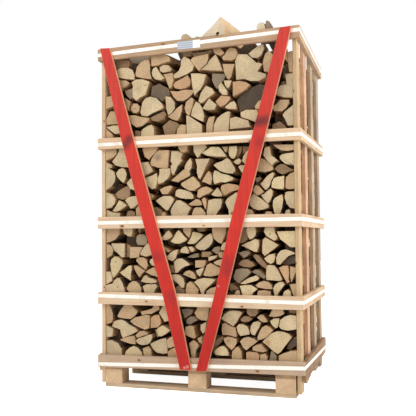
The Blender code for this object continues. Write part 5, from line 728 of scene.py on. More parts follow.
thirdBayLogs = {
    "cornerOrange": ("tan", (105, 229), (119.5, 229), (118.5, 235), (115, 239.5), (110.5, 241.5),
        (105, 242.5)),
    "hangDown": ("pale", (121, 228.5), (132.5, 228.5), (132.5, 233), (130.5, 236.5), (127.5, 235.8),
        (124, 233.5)),
    "tinyTop": ("grey", (135, 229), (141, 229), (138, 233.3)),
    "olive": ("grey", (135.5, 236), (138, 234.2), (143, 234.5), (145.5, 238), (146, 244), (142, 245.3),
        (136.5, 244.8), (135, 241)),
    "leftOval": ("tan", (104.5, 245), (108, 244), (111.5, 246), (113.3, 250), (112, 255), (109, 258.5),
        (104.5, 259)),
    "paleSquare": ("pale", (111.5, 243.5), (115, 243.5), (124.3, 243.7), (124.5, 257), (121.5, 257.2),
        (118, 253.3), (114.5, 250.5), (112.7, 247)),
    "sideStrip": ("brown", (125.6, 245), (128.6, 245.5), (128.2, 257), (125.4, 257)),
    "tanWide": ("tan", (130, 247), (139, 247), (142.5, 247.5), (139.5, 252.5), (138.5, 257.3), (130, 258)),
    "leanTriangle": ("pale", (143.5, 247.8), (147, 243.5), (150, 245.5), (153, 250.5), (152.5, 254.5),
        (146, 256.5), (141, 255), (140.3, 252.7)),
    "egg": ("straw", (110.5, 264), (111.5, 259.5), (115, 256.5), (119, 257.5), (122.3, 260.5), (122.5, 264),
        (120, 269), (116.5, 274), (113, 278), (111.5, 273)),
    "roundTop": ("tan", (136, 259.3), (139, 257.3), (143, 257.5), (146.5, 260.5), (147.5, 265),
        (145.5, 269.5), (143, 268), (139, 264.5), (136.3, 261.5)),
    "roundLow": ("tan", (133.5, 266), (136, 265.5), (139, 267.5), (143, 270), (144.5, 270.7), (141, 274),
        (138.7, 277.5), (136.5, 274), (134.5, 270)),
    "kite": ("straw", (119.5, 272.5), (124, 269.5), (128, 266), (131, 265.5), (131.3, 270), (130.5, 275),
        (130.5, 280.5), (127, 278.5), (122, 275)),
    "leftLow": ("pale", (104.5, 271), (108, 271.5), (110.5, 272), (112, 277), (112, 281), (109.5, 284.5),
        (104.5, 286)),
    "domeKnot": ("pale", (106.5, 288), (110, 285.3), (113, 283.5), (114.5, 280.5), (117.5, 278), (120, 278.5),
        (122.3, 282), (124, 287), (126, 293), (119, 293), (110, 293)),
    "domeRings": ("tan", (127, 288), (129.5, 283.5), (133, 281), (136.5, 281.5), (139.5, 284), (141, 287.5),
        (141, 292.5), (135, 292.5), (127.5, 290)),
    "lowRound": ("pale", (142.5, 286.5), (146, 284.5), (151, 284.5), (155, 284), (157, 286.5), (155, 289.5),
        (151.5, 292), (146.5, 291.5), (143.5, 289.5)),
    "slabGrey": ("pale", (140.5, 281.5), (143, 277), (145.5, 275), (148, 277.5), (152, 278.5), (156, 280.5),
        (156.5, 282.5), (151, 283.3), (145, 282.8)),
    "behindTri": ("tan", (145.5, 272), (149, 269.5), (154, 267), (158, 277), (151, 275)),
    "behindUp": ("pale", (149.5, 262), (151, 259), (154, 258), (157, 266), (152, 265.5)),
    "topLens": ("pale", (161, 238), (164, 235.5), (167, 231.5), (169, 230.5), (171, 233), (172.5, 236),
        (170, 238.5), (166, 240), (162.5, 240)),
    "narrow": ("tan", (163, 246.5), (167, 248.5), (170, 251), (168, 252.5), (165, 250.5)),
    "fanTop": ("straw", (170.5, 241.5), (173.5, 237.5), (176, 233), (178.5, 230), (181, 232.5),
        (184.5, 236.7), (187, 239), (184.5, 241.5), (180, 243.5), (175, 243.5)),
    "topTri": ("tan", (182, 229), (191.5, 228.5), (190.5, 233), (189, 237.7), (186, 235), (183.5, 232)),
    "wedgeTop": ("straw", (192, 232), (195, 232), (200, 233.5), (202.5, 235), (199.5, 239), (196, 242.5),
        (193.5, 244), (190, 244), (187, 243.5), (189.3, 240), (191, 236)),
    "bigDiagonal": ("pale", (195, 246.5), (198, 243), (202, 239.5), (206, 236), (210.3, 233.5), (212, 236),
        (212.5, 240), (211.5, 243.5), (208, 247.5), (204, 250), (200, 250), (197, 248.5)),
    "topRightTri": ("tan", (211.3, 229), (226, 228.5), (225, 234), (222.5, 240), (221, 243.5), (217.5, 242),
        (213.5, 238.5), (212.3, 234)),
    "topThin": ("brown", (193, 228.5), (206, 228.5), (203.5, 231), (197, 231.5)),
    "pairLeft": ("pale", (180.5, 250.5), (182, 248), (185, 246.5), (187, 247.5), (188.8, 250.5),
        (188.3, 253.5), (184, 253), (181, 252.5)),
    "pairRight": ("straw", (188.5, 247), (191, 246.5), (193.5, 248), (194, 250), (192, 252), (190, 250.3)),
    "greyDome": ("grey", (211, 250.5), (213.5, 247.5), (217, 246.5), (220, 248), (218.5, 251.5), (216, 254.5),
        (213.5, 252.5)),
    "behindPink": ("pale", (220.8, 247), (222.5, 243.5), (227, 241), (226, 250), (221, 250.5)),
    "dimFlat": ("brown", (201, 251.8), (209, 251.8), (211, 254), (207.5, 257), (201, 257)),
    "slabMid": ("grey", (186, 257.5), (189, 255.5), (194, 253.5), (197, 253.5), (197.5, 257), (192, 258)),
    "tinyGreen": ("pale", (208.3, 257), (212, 256), (217.5, 255.5), (215, 258.5), (210.5, 260.5),
        (208.5, 261)),
    "pinkChip": ("orange", (218.3, 253), (220.5, 251.8), (223, 253), (222, 258), (219.5, 257.5)),
    "leftFan": ("pale", (166.5, 257), (170, 253), (174, 250.5), (177.5, 249.5), (177, 254), (175.5, 258),
        (172.5, 261), (168, 259.5)),
    "bigArrow": ("pale", (173.5, 262), (176.5, 259), (181, 258.3), (184, 260), (188, 263), (189, 265),
        (184.5, 266.5), (180.5, 269), (177.5, 272.3), (175, 273), (174, 267)),
    "squareMid": ("tan", (195, 260.5), (200, 260.3), (205.5, 260.5), (205, 264.5), (203.3, 267), (199, 267.5),
        (195, 267.5)),
    "wedgeLow": ("pale", (196, 270.5), (199, 269.3), (203.7, 267), (203, 270), (201, 274.5), (199.5, 276.5),
        (197, 274)),
    "bigBlock": ("tan", (203, 275), (205, 270), (206.5, 265.5), (210, 263.3), (215, 265.8), (219.5, 268),
        (221, 272), (216, 275.5), (210, 276.5), (205, 276)),
    "leafEye": ("tan", (182.5, 274.5), (185, 271.5), (189, 270.3), (192.5, 272), (195, 275.5), (195.5, 279),
        (192, 278.5), (187, 276.5)),
    "archLow": ("pale", (171, 275), (175, 274.5), (180, 275.5), (183.5, 278.5), (184.5, 283), (183.5, 288),
        (181, 287.5), (178.5, 284), (173, 280)),
    "fanBig": ("straw", (194, 282.5), (197.5, 279.5), (203, 278), (210, 278.5), (215, 280), (211.5, 283.5),
        (207, 287.5), (204, 291), (202.5, 292.5), (199.5, 289), (197, 285.5)),
    "lowTan": ("tan", (186, 290), (187, 284), (190, 281.7), (193.7, 284), (196.5, 287.5), (198.5, 290),
        (196, 293), (186.5, 294.5)),
    "lowBrown": ("brown", (174.5, 288), (178, 285.3), (180.7, 288.5), (183.5, 290), (184.3, 294.5),
        (175, 294.5)),
    "lowSmall": ("tan", (206.5, 291), (210, 288.5), (216, 287), (215, 294.5), (205, 294.5)),
    "behindRight": ("tan", (213.5, 262.5), (218, 260), (223, 259), (221, 266), (216, 264.5)),
    "sideByBrace": ("brown", (169, 266), (173, 265), (173.3, 273), (170, 273)),
    "topRound": ("straw", (246, 231), (248, 228), (254, 228), (255.8, 232), (255, 236), (252.5, 238.5),
        (249.5, 239.5), (247.5, 236.5)),
    "topStrip": ("brown", (239, 236), (242.5, 228), (245.2, 229), (247, 238.5), (244, 241.7), (239.5, 243)),
    "eyeTop": ("pale", (264, 231.5), (267.5, 228), (273, 228), (275, 233), (277.2, 236.5), (276.3, 239.5),
        (274, 240.5), (270, 238), (266.5, 236)),
    "cornerBig": ("straw", (277, 231.5), (293, 231), (293.3, 247), (290, 247), (286, 243.5), (280.5, 239.3),
        (278.5, 235.5)),
    "kiteLeft": ("pale", (241, 245.5), (246, 243), (251, 241), (255, 239), (258.5, 240.5), (258.5, 246),
        (256.5, 252), (253.5, 251.5), (248, 248.5)),
    "kiteRight": ("straw", (262.5, 240), (265, 237.5), (268, 239), (273, 242), (278, 245), (275.5, 247.5),
        (270, 251.5), (264.5, 256), (262, 253), (262, 246)),
    "greySmall": ("grey", (238, 253), (243, 251), (247.5, 251.5), (249, 253), (245.5, 256.5), (243, 258),
        (240.5, 255.5)),
    "pinkTri": ("pale", (264, 258.5), (268.5, 255), (274.5, 253.5), (275, 257.5), (273.5, 262), (270.5, 264),
        (266.5, 261.7)),
    "domeRight": ("pale", (276, 258), (278, 253.5), (281, 250.5), (286, 249.5), (290.5, 251), (292.5, 253.5),
        (288, 256), (283.5, 260.5), (280, 264.5), (276.5, 264)),
    "darkUnder": ("dark", (281.5, 263.7), (285, 260.3), (289.5, 256.8), (293, 255), (293, 263), (286, 265)),
    "brownMid": ("brown", (238, 263.5), (242, 260), (247, 259.5), (251, 262), (254, 265.5), (250, 267.5),
        (243.5, 267), (239, 265.5)),
    "greySquare": ("grey", (233, 277), (235, 270), (241, 268.5), (247, 269), (250, 272.5), (247, 276),
        (242, 280), (238, 283.5), (234, 280)),
    "purpleSlim": ("grey", (251.2, 272), (254, 270), (257, 269.7), (261.5, 273.3), (264.8, 276.5),
        (263.5, 279.5), (259, 276.5), (254, 274)),
    "slabPale": ("straw", (240.5, 283.5), (245, 280.3), (250, 277.5), (256, 275.5), (258.5, 277.5),
        (258, 280), (252, 282), (245, 284)),
    "longDiagonal": ("brown", (252, 256), (255, 254.5), (258, 256), (261.5, 260), (265.7, 264.5),
        (265.3, 269), (262, 267), (257, 262.5), (254.5, 259.5)),
    "bigPost": ("pale", (266.3, 266), (269, 265), (274, 265.5), (277, 269), (280, 275), (282, 280),
        (279, 281), (274, 280.5), (266, 280), (265.8, 275)),
    "rightOrange": ("orange", (279, 268), (283, 266), (288, 266), (289, 272), (288.5, 279), (289.5, 282),
        (287, 283), (284, 277.5), (281, 272)),
    "rightSliver": ("tan", (289.8, 266.5), (292.8, 268), (292.8, 272), (291, 282.5), (289.7, 276)),
    "fanLow": ("straw", (240, 286), (246, 285), (251, 285), (256, 288), (257, 289.5), (253, 292.5),
        (249, 295), (244, 295.5), (241.5, 290.5)),
    "domeLow": ("tan", (255.5, 285.5), (259, 282.5), (264, 281), (268, 282), (271.5, 285.5), (272, 289.2),
        (266, 289), (258, 287.5)),
    "ovalLow": ("straw", (273, 288), (275, 284.5), (278.5, 282.3), (282.5, 282), (284.5, 284.5),
        (281.5, 288.5), (278, 293), (275.5, 294.5), (273.5, 291.5)),
    "flatLow": ("tan", (255, 295.5), (258, 291), (264, 290.5), (270, 291.5), (271.5, 296), (262, 297)),
    "lowRight": ("pale", (281, 297), (284, 291.5), (288, 289.5), (290.5, 292), (291.5, 297)),
    "rightEdge": ("tan", (289.5, 284.5), (292.8, 284), (292.8, 294), (291.5, 291)),
    "lowChip": ("pale", (231, 292.5), (236, 290.7), (239, 290), (240.5, 296), (232, 296)),
    "brownWedge": ("brown", (229, 284), (234, 285.5), (238, 289), (234, 290.3), (229, 291)),
}

lowBayLogs = {
    "edgeOval": ("orange", (105, 306), (108.5, 305), (111.5, 308.5), (113, 313), (113, 318), (111.5, 322.5),
        (110, 324.3), (107.5, 321.5), (105, 318)),
    "wedgeTop": ("tan", (117, 316), (119.5, 311.5), (122.5, 307), (127, 305), (133, 307.5), (137, 310.5),
        (137, 313), (134, 316.5), (130, 319), (124, 318.5), (118.5, 317.5)),
    "topFlat": ("tan", (140.5, 311.5), (146, 310.5), (152, 308.5), (157.5, 306), (159, 309.5), (155, 311.5),
        (151, 314), (146, 314), (142, 315.3)),
    "longRight": ("pale", (158.5, 313), (160.5, 309.5), (166, 305), (169, 313), (169.5, 320), (164, 322),
        (161.5, 317.5)),
    "bigTan": ("tan", (130.5, 321), (135, 317.5), (141, 316.3), (146, 314.8), (149.5, 316), (149.5, 322),
        (149, 328), (145, 329.5), (140, 327.5), (134, 324.5)),
    "tanBlock": ("orange", (150.5, 318), (154, 315.5), (158.5, 315), (160, 319.5), (160.5, 324), (157, 327.5),
        (150.5, 328)),
    "bigPale": ("pale", (112, 326.5), (114, 321.5), (118, 320), (121, 319.5), (125, 321), (129, 324.5),
        (134, 327), (137.5, 331), (132, 334), (127, 336), (122.5, 338), (120.5, 333), (120, 329.5),
        (116, 328)),
    "paleSquare": ("pale", (106.5, 324), (110, 325.7), (113, 328.5), (113, 333), (112, 336.5), (106.5, 337)),
    "triLow": ("tan", (119.5, 340), (123.5, 338.2), (128.5, 336.7), (133.5, 336), (134.5, 340),
        (134.7, 344.5), (130, 344), (124, 342)),
    "bigLowLeft": ("pale", (108.5, 341), (112, 340.5), (118, 343.5), (121, 348.5), (121.5, 357), (109, 357)),
    "slabSmall": ("tan", (135, 335.5), (139, 331.5), (143.5, 331), (147.5, 333.3), (147, 334.8), (142, 336.2),
        (137, 338.2)),
    "ovalPale": ("pale", (136, 340.5), (139, 338.3), (144, 336.7), (149, 334.7), (152, 334.5), (152.3, 338),
        (150.5, 342), (147.5, 344.5), (142, 345), (138.5, 343.5)),
    "leanSmall": ("brown", (153.5, 330), (155.7, 330.5), (157.7, 336.7), (156, 338)),
    "paleHex": ("straw", (156.2, 330), (158.5, 327.7), (162, 325.5), (166, 327.5), (170, 330.5), (165.5, 334),
        (161, 336.5), (158.3, 336)),
    "bigSquare": ("pale", (150, 344), (154, 342), (160, 339.5), (165.5, 338.5), (166.3, 343), (167, 353.5),
        (162, 354), (156, 352.5), (152.5, 349)),
    "domeBig": ("straw", (123.5, 357), (126, 351), (130, 347.5), (134, 346), (138, 348), (141.5, 352),
        (143.3, 357)),
    "lowCentre": ("tan", (143, 348.5), (148.5, 346.5), (151, 350), (152.5, 357), (145, 357)),
    "behindLeft": ("tan", (167, 340), (170, 337.5), (175, 335), (178, 345), (171, 347.5), (168, 348)),
    "behindLeftLow": ("orange", (168, 352), (171, 349.3), (178, 346.5), (181, 356), (168.5, 354.5)),
    "betweenTop": ("grey", (180, 310), (186, 309), (191.5, 310), (191, 313.5), (187.5, 316.3), (183, 318.5)),
    "betweenMid": ("grey", (185, 323.5), (186, 319.5), (189, 317), (193, 317), (197, 320.5), (192.5, 322.5),
        (189, 325)),
    "betweenSquare": ("tan", (184.5, 334.5), (185.5, 327), (190, 326), (193.5, 326.5), (194.5, 331),
        (196, 337), (194, 338.5), (190, 337)),
    "ovalTop": ("tan", (194.5, 313), (196.5, 309.5), (200, 307.5), (205, 308), (210, 308), (207, 320.5),
        (201, 320), (197, 318)),
    "behindRight": ("pale", (200.5, 325), (206, 322), (205, 331), (203, 334), (200.5, 330)),
    "betweenLow": ("tan", (189, 343.5), (193, 340.5), (196.5, 343), (198.5, 346), (196, 349.5), (195.5, 354),
        (193, 355.5), (190.5, 351)),
    "chipRight": ("tan", (197, 338.5), (201.5, 336.5), (201.5, 344), (198.5, 342)),
    "bigDome": ("pale", (221.5, 318.5), (224, 315), (228, 311.5), (233, 310.5), (238, 311), (242, 312.5),
        (239, 317.5), (236.5, 322), (233, 326), (229, 323.3), (225, 321)),
    "squareBelow": ("tan", (221.5, 330), (222, 324.5), (225, 323), (230, 326.3), (235, 328), (236, 334),
        (235.5, 337.3), (229, 335.3), (222, 335)),
    "curveStrip": ("brown", (212, 345), (217, 339), (221.5, 336.5), (222.5, 338), (220.5, 342), (217, 346.5),
        (212.5, 350)),
    "domeLow": ("straw", (214.5, 352), (216.5, 348.7), (220, 346.5), (223.5, 346), (226.5, 348.5),
        (228.5, 352.5), (228.5, 355.5), (222, 355.5), (216, 354.5)),
    "wedgeMid": ("tan", (223.5, 338.5), (228, 337), (233, 338), (236.3, 339.5), (236.3, 343.5), (234.5, 347),
        (231.5, 350), (227, 346), (224.5, 342)),
    "rightOfDome": ("tan", (232, 351.5), (235, 348.2), (238, 347), (241, 352), (242.5, 360), (232, 360)),
    "topBrown": ("brown", (246, 309.5), (258, 309), (257, 314), (254.5, 316.5), (250, 316.5),
        (246.5, 313.5)),
    "lensBrown": ("brown", (240, 319.5), (243, 316.7), (248, 317), (251.5, 319.5), (248, 322), (244, 322.5),
        (240.5, 321.5)),
    "roundSquare": ("pale", (236.5, 327), (238.5, 324.5), (243, 324.5), (247, 326.5), (249, 331),
        (249, 334.5), (244, 335.5), (240, 336), (237.5, 332)),
    "barrel": ("pale", (250.5, 326.5), (253, 322.5), (257, 321.5), (260.5, 323), (259, 327.5), (256.5, 331.5),
        (254.5, 335.5), (251.5, 334.5), (250, 331)),
    "smallWedge": ("tan", (257, 317.5), (260, 315), (263, 315), (266, 319), (267.5, 322), (263.5, 322.5),
        (260, 320.5)),
    "kiteMid": ("tan", (240, 341.5), (243.5, 338), (248, 337), (252.5, 338.5), (257, 341.5), (254, 344.3),
        (250, 347), (246, 350.5), (243, 347.5)),
    "fanLow": ("tan", (253, 347), (257, 344.7), (261, 344.5), (264, 348.5), (266.5, 351.3), (263, 352.3),
        (257, 351.3), (252.5, 350)),
    "lowOrange": ("orange", (246, 353), (250, 352), (256, 352.3), (259, 355), (258, 360), (246, 360)),
    "leanGrey": ("tan", (257.5, 337), (259.5, 332), (262, 327.5), (266, 325.5), (270, 327.5), (273, 330.3),
        (270, 333.5), (265.5, 337.7), (261.5, 339.5), (258, 340)),
    "bigLog": ("straw", (262.5, 342), (266, 338), (271, 333.5), (277, 331.5), (283, 332), (288, 334),
        (291.5, 337.5), (288.5, 341.5), (284, 347), (280.5, 352), (277.5, 354), (273.5, 351.5),
        (268, 346.5)),
    "barkRight": ("dark", (289, 343), (293, 338.5), (294.5, 338.5), (294.5, 345), (289.5, 350.3), (287, 349),
        (285.5, 350)),
    "upPale": ("straw", (270, 321), (274, 318.5), (279.3, 318.5), (279, 322.5), (277.5, 327.3),
        (275.5, 328.3), (272, 325)),
    "upBig": ("pale", (280.5, 320), (285, 316.5), (290, 315), (293.5, 316), (293.5, 323), (293, 329),
        (288, 330.5), (281.5, 329), (279.3, 326.5)),
    "topTan": ("tan", (269, 316), (271, 312.5), (276, 310.5), (281, 311), (284, 314), (280, 316),
        (274, 317)),
    "cornerTop": ("brown", (286.5, 310), (293.5, 310), (293.5, 314), (289, 313)),
    "lowGrey": ("grey", (270.5, 352), (273, 352.5), (276, 356), (276, 360), (267, 360)),
    "lowCorner": ("tan", (279, 356), (284, 353.3), (290, 351.3), (294.5, 350.8), (294.5, 360), (279, 360)),
    "lowMid": ("tan", (260, 355), (265, 354), (267, 357.5), (266, 360), (260, 360)),
}

# logs further back in the front row, read off at this depth in mm: they close off gaps, mostly under the top
# rail, and one shows over it; their dark and brown end tones are painted shade, for the shadow deep in the
# gaps
deepY = 90.0
deepLogs = {
    "overDogBone": ("dark", (235.5, 50), (241, 48), (246, 43), (253, 41), (254.5, 45.5), (250, 52), (245, 56),
        (236, 55)),
    "behindRightBrace": ("dark", (268, 41), (281, 40), (281.5, 54), (276.5, 55), (272.5, 50.5), (270, 46)),
    "behindTriangle": ("dark", (218, 53), (226.5, 53.5), (228, 61), (226, 66), (219.5, 64)),
    "behindSmallEnds": ("dark", (130, 64), (136, 62.5), (136.5, 68), (133, 71)),
    "hazyUnderRail": ("hazy", (127, 56), (138, 54), (149.5, 52), (150, 60), (144, 60.5), (138, 63.5),
        (133, 63.5)),
    "closeTriangle": ("dark", (181.3, 50), (187, 50), (187, 62), (179, 64.5), (176, 61.5), (180.5, 60),
        (181, 56)),
    "closeThirdBay": ("dark", (127, 236), (139, 236), (139, 246), (127, 246)),
    "humpOverRail": ("pale", (181.8, 46), (181.2, 38.5), (181.8, 36), (183, 34.5), (185.5, 33.9),
        (187.5, 34.6), (190, 36.8), (191.2, 40), (191.2, 46)),
    "rightOfLight": ("dark", (176.6, 50.5), (182, 50.5), (182, 61), (180.2, 59.5)),
    "underLight": ("brown", (163, 53.8), (168.3, 55.2), (178.6, 60), (178, 63.5), (170, 63.5), (164.5, 58)),
    "leftOfStrip": ("brown", (260.3, 40.5), (264, 40.5), (264.4, 43), (266.8, 47.5), (268.6, 50.8), (267, 52),
        (263.5, 51), (261.5, 46)),
    "underStrip": ("dark", (263, 50.6), (266, 50.6), (268.6, 52.2), (268, 60), (262, 65), (258.5, 60),
        (260, 54)),
    "rightOfStrip": ("brown", (270.3, 51.2), (277, 50.5), (277, 60), (274, 60)),
}

# short offcuts that leave a way through to the light behind them: where they end, in mm
shortLogs = {"domeByGap": 75.0, "leftOfStrip": 106.0}

# the stack: three rows of split logs, each log dropped where it lies lowest, the same way as the solids were
# stacked; lengths in mm and x from the middle of the crate
stack = {
    "width": 1092.0,
    "base": 139.0,
    "cell": 4.0,
    "logGap": 3.0,
    "sideGap": 1.0,
    "edgeReach": 11.5,
    "sideReach": 18.5,
    "leftEdge": -551.0,
    "meetingGap": 3.0,
    # logs deeper in at both sides, behind the gaps at the slats, with the dark end tone as painted shade
    "backerWide": 62.0,
    "backerTall": 86.0,
    "backerStart": 4.0,
    "backerTop": 1700.0,
    "backerSlopes": (12.0, 16.0),
    # no log is dropped over these stretches of the front row, nor into the bed of the loose wedge
    "openTops": ((-425.0, -262.0), (-180.0, -82.0), (330.0, 560.0)),
    "wedgeBed": (-10.0, 300.0, 1896.0),
    # the top of each row: from this x on, up to this z
    "tops": {
        "front": ((-600.0, 1930.0),),
        "middle": ((-600.0, 1925.0), (300.0, 1900.0), (310.0, 1885.0)),
        "back": ((-600.0, 1925.0), (300.0, 1900.0)),
    },
    # front rails from the top: lower and upper edge at the left and at the right end
    "rails": (
        ((1871.0, 1940.5), (1889.5, 1956.5)), ((1352.8, 1419.4), (1349.0, 1408.4)),
        ((896.1, 962.8), (891.7, 959.3)), ((467.4, 533.4), (457.5, 529.4)), ((112.0, 178.1), (121.5, 193.3)),
    ),
    "rows": {
        "front": {"seed": 11, "start": 24.0, "end": 290.0},
        "middle": {"seed": 29, "start": 300.0, "end": 565.0},
        "back": {"seed": 47, "start": 575.0, "end": 843.0},
    },
}
# split log cross-sections: how common each is, usual radius in mm, angle of the split in degrees and share of
# the radius that is cut off inside; the last two are given by their corners at radius 1
logForms = {
    "slimWedge": {"share": 10, "radius": 108.0, "angle": 58},
    "wedge": {"share": 18, "radius": 94.0, "angle": 78},
    "wideWedge": {"share": 15, "radius": 82.0, "angle": 100},
    "third": {"share": 9, "radius": 68.0, "angle": 128},
    "half": {"share": 9, "radius": 56.0, "angle": 180},
    "slab": {"share": 5, "radius": 84.0, "cut": 0.47},
    "trimmed": {"share": 12, "radius": 118.0, "angle": 60, "cut": 0.36},
    "round": {"share": 4, "radius": 36.0},
    "fourSided": {"share": 9, "radius": 52.0,
                  "spots": [(-0.95, -0.62), (-0.62, 0.72), (0.80, 0.88), (1.05, -0.55)]},
    "threeSided": {"share": 8, "radius": 52.0, "spots": [(-1.0, -0.75), (-0.15, 1.05), (1.1, -0.6)]},
}
corners = 12  # corners of one log's outline

# how the logs are dropped: so many tries for each, at twelve turns; the lowest and tightest place wins
dropping = {
    "arcSteps": 4,
    "tries": 5,
    "misses": 12,
    "growAbove": 1400.0,
    "growth": 1.16,
    "sizeSpread": 0.22,
    "sizes": (0.62, 1.6),
    "wide": (0.85, 1.15),
    "tall": (0.85, 1.10),
    "shrinkAfter": 4,
    "shrink": 0.66,
    "topWeight": 0.35,
    "hollowWeight": 2.2,
    "hollowDepth": 34.0,
    "sliver": 30.0,
    "sliverCost": 14.0,
    "noRoom": 1e9,
}


def formOutline(form, steps):
    # cross-section at radius 1: a bark arc of so many steps, then what the splits leave
    if form == "round":
        count = steps * 2
        return [(math.sin(2 * math.pi * i / count), math.cos(2 * math.pi * i / count)) for i in range(count)]
    shape = logForms[form]
    if "spots" in shape:
        return list(shape["spots"])
    spread = 2 * math.acos(shape["cut"]) if form == "slab" else math.radians(shape["angle"])
    angles = [-spread / 2 + spread * i / steps for i in range(steps + 1)]
    points = [(math.sin(a), math.cos(a)) for a in angles]
    if form == "trimmed":
        side = math.sin(spread / 2) * shape["cut"]
        rise = math.cos(spread / 2) * shape["cut"]
        points += [(side, rise), (-side, rise)]
    elif form not in ("slab", "half"):
        points += [(0.0, 0.0)]
    return points


def turnedOutline(log, points):
    c = math.cos(log["turn"])
    s = math.sin(log["turn"])
    turned = []
    for x, z in points:
        x = x * log["wide"] * log["flip"]
        z = z * log["tall"]
        turned.append((x * c - z * s, x * s + z * c))
    return turned


def edgeHeights(points):
    # the outline's underside and top in each cell along x
    xs = [p[0] for p in points]
    first = min(xs)
    last = max(xs)
    count = max(2, int(math.ceil((last - first) / stack["cell"])))
    columns = np.minimum(first + (np.arange(count) + 0.5) * stack["cell"], last - 1e-6)
    low = np.full(count, 1e9)
    high = np.full(count, -1e9)
    for (xa, za), (xb, zb) in zip(points, points[1:] + points[:1]):
        if abs(xa - xb) < 1e-9:
            continue
        inside = (columns >= min(xa, xb)) & (columns <= max(xa, xb))
        z = za + (zb - za) * (columns - xa) / (xb - xa)
        low = np.where(inside, np.minimum(low, z), low)
        high = np.where(inside, np.maximum(high, z), high)
    return first, low, high


def stackLimit(row, x):
    if row == "front":
        if any(low < x < high for low, high in stack["openTops"]):
            return 0.0
        left, right, bed = stack["wedgeBed"]
        if left < x < right:
            return bed
    return [top for fromX, top in stack["tops"][row] if x > fromX][-1]


def bestPlace(surface, limit, low, high):
    # where along the stack one outline lies best: cell, cost and height
    span = len(low)
    windows = np.lib.stride_tricks.sliding_window_view(surface, span)
    room = np.lib.stride_tricks.sliding_window_view(limit, span)
    rest = (windows - low).max(axis=1)
    hollow = np.minimum(rest[:, None] + low - windows, dropping["hollowDepth"]).sum(axis=1)
    cost = rest + high.max() * dropping["topWeight"] + dropping["hollowWeight"] * hollow / span
    toLeft = np.arange(len(rest)) * stack["cell"]
    toRight = (len(surface) - span) * stack["cell"] - toLeft
    for gap in (toLeft, toRight):
        cost = cost + np.where((gap > 0) & (gap < dropping["sliver"]), dropping["sliverCost"], 0.0)
    fits = (rest[:, None] + high <= room).all(axis=1)
    cost = np.where(fits, cost, dropping["noRoom"])
    place = int(np.argmin(np.round(cost, 2)))
    return place, float(cost[place]), float(rest[place])


def dropLogs(rng, surface, limit, logs):
    forms = list(logForms)
    shares = [logForms[name]["share"] for name in forms]
    smallest, largest = dropping["sizes"]
    misses = 0
    while misses < dropping["misses"]:
        best = None
        growth = dropping["growth"] if surface.min() > dropping["growAbove"] else 1.0
        for attempt in range(dropping["tries"]):
            form = rng.choices(forms, shares)[0]
            scale = min(largest, max(smallest, rng.lognormvariate(0.0, dropping["sizeSpread"])))
            size = growth * logForms[form]["radius"] * scale
            wide = size * rng.uniform(*dropping["wide"])
            tall = size * rng.uniform(*dropping["tall"])
            if misses > dropping["shrinkAfter"]:
                wide *= dropping["shrink"]
                tall *= dropping["shrink"]
            flip = rng.choice((-1, 1))
            turn = rng.uniform(0.0, 2 * math.pi)
            for twelfth in range(12):
                turned = turn + twelfth * math.pi / 6
                log = {"form": form, "turn": turned, "wide": wide, "tall": tall, "flip": flip}
                outline = turnedOutline(log, formOutline(form, dropping["arcSteps"]))
                first, low, high = edgeHeights(outline)
                place, cost, rest = bestPlace(surface, limit, low, high)
                if cost < dropping["noRoom"] and (best is None or cost < best[0]):
                    log["x"] = place * stack["cell"] - stack["width"] / 2 - first
                    log["z"] = rest
                    best = (cost, log, place, low, high)
        if best is None:
            misses += 1
            continue
        log, place, low, high = best[1:]
        logs.append(log)
        covered = surface[place:place + len(low)]
        surface[place:place + len(low)] = np.maximum(covered, log["z"] + high + stack["logGap"])


def railEdge(level, upper, x):
    leftEnd, rightEnd = stack["rails"][level]
    share = (x + crate["middleX"]) / crate["width"]
    return leftEnd[upper] * (1 - share) + rightEnd[upper] * share


def behindRail(bay, x, z):
    # a corner read off close to a rail or a slat runs on behind it, where the next bay's corners meet it
    side = stack["width"] / 2 - stack["sideGap"]
    if x > side - stack["sideReach"]:
        x = side
    if x < stack["sideReach"] - side:
        x = stack["leftEdge"]
    above = railEdge(bay, 0, x)
    below = railEdge(bay + 1, 1, x)
    if bay > 0 and z > above - stack["edgeReach"]:
        z = (above + railEdge(bay, 1, x)) / 2 - stack["meetingGap"]
    if z < below + stack["edgeReach"]:
        z = (below + railEdge(bay + 1, 0, x)) / 2 + stack["meetingGap"]
        # the lowest bay reaches down to the pallet
        if bay == 3:
            z = stack["base"] + stack["meetingGap"]
    return x, z


def measuredLogs():
    logs = []
    for bay, table in enumerate((topBayLogs, secondBayLogs, thirdBayLogs, lowBayLogs)):
        for name, (tone, *spots) in table.items():
            points = [behindRail(bay, *onLogEnds(x, y)) for x, y in spots]
            logs.append({"form": "measured", "name": name, "tone": tone, "points": points})
    for name, (tone, *spots) in deepLogs.items():
        points = [onLogEnds(x, y, deepY) for x, y in spots]
        logs.append({"form": "measured", "name": name, "tone": tone, "points": points, "start": deepY})
    lowSlope, topSlope = stack["backerSlopes"]
    for edge in (stack["leftEdge"], stack["width"] / 2 - stack["sideGap"]):
        inner = edge - math.copysign(stack["backerWide"], edge)
        for z in np.arange(stack["base"] + stack["backerStart"], stack["backerTop"], stack["backerTall"]):
            top = z + stack["backerTall"] - stack["logGap"]
            points = [(edge, z), (inner, z + lowSlope), (inner, top - topSlope), (edge, top)]
            # the backers' dark end tone is painted shade for the gaps at the slats
            log = {"form": "measured", "name": "backer", "tone": "dark", "points": points, "start": deepY}
            logs.append(log)
    return logs


def stackLogs(row):
    half = stack["width"] / 2
    cell = stack["cell"]
    count = int(stack["width"] / cell)
    surface = np.full(count, stack["base"])
    limit = np.array([stackLimit(row, x) for x in (np.arange(count) + 0.5) * cell - half])
    logs = measuredLogs() if row == "front" else []
    for log in logs:
        first, low, high = edgeHeights(log["points"])
        start = max(0, min(count - len(low), int(round((first + half) / cell))))
        covered = surface[start:start + len(low)]
        surface[start:start + len(low)] = np.maximum(covered, high + stack["logGap"])
    dropLogs(random.Random(stack["rows"][row]["seed"]), surface, limit, logs)
    return logs


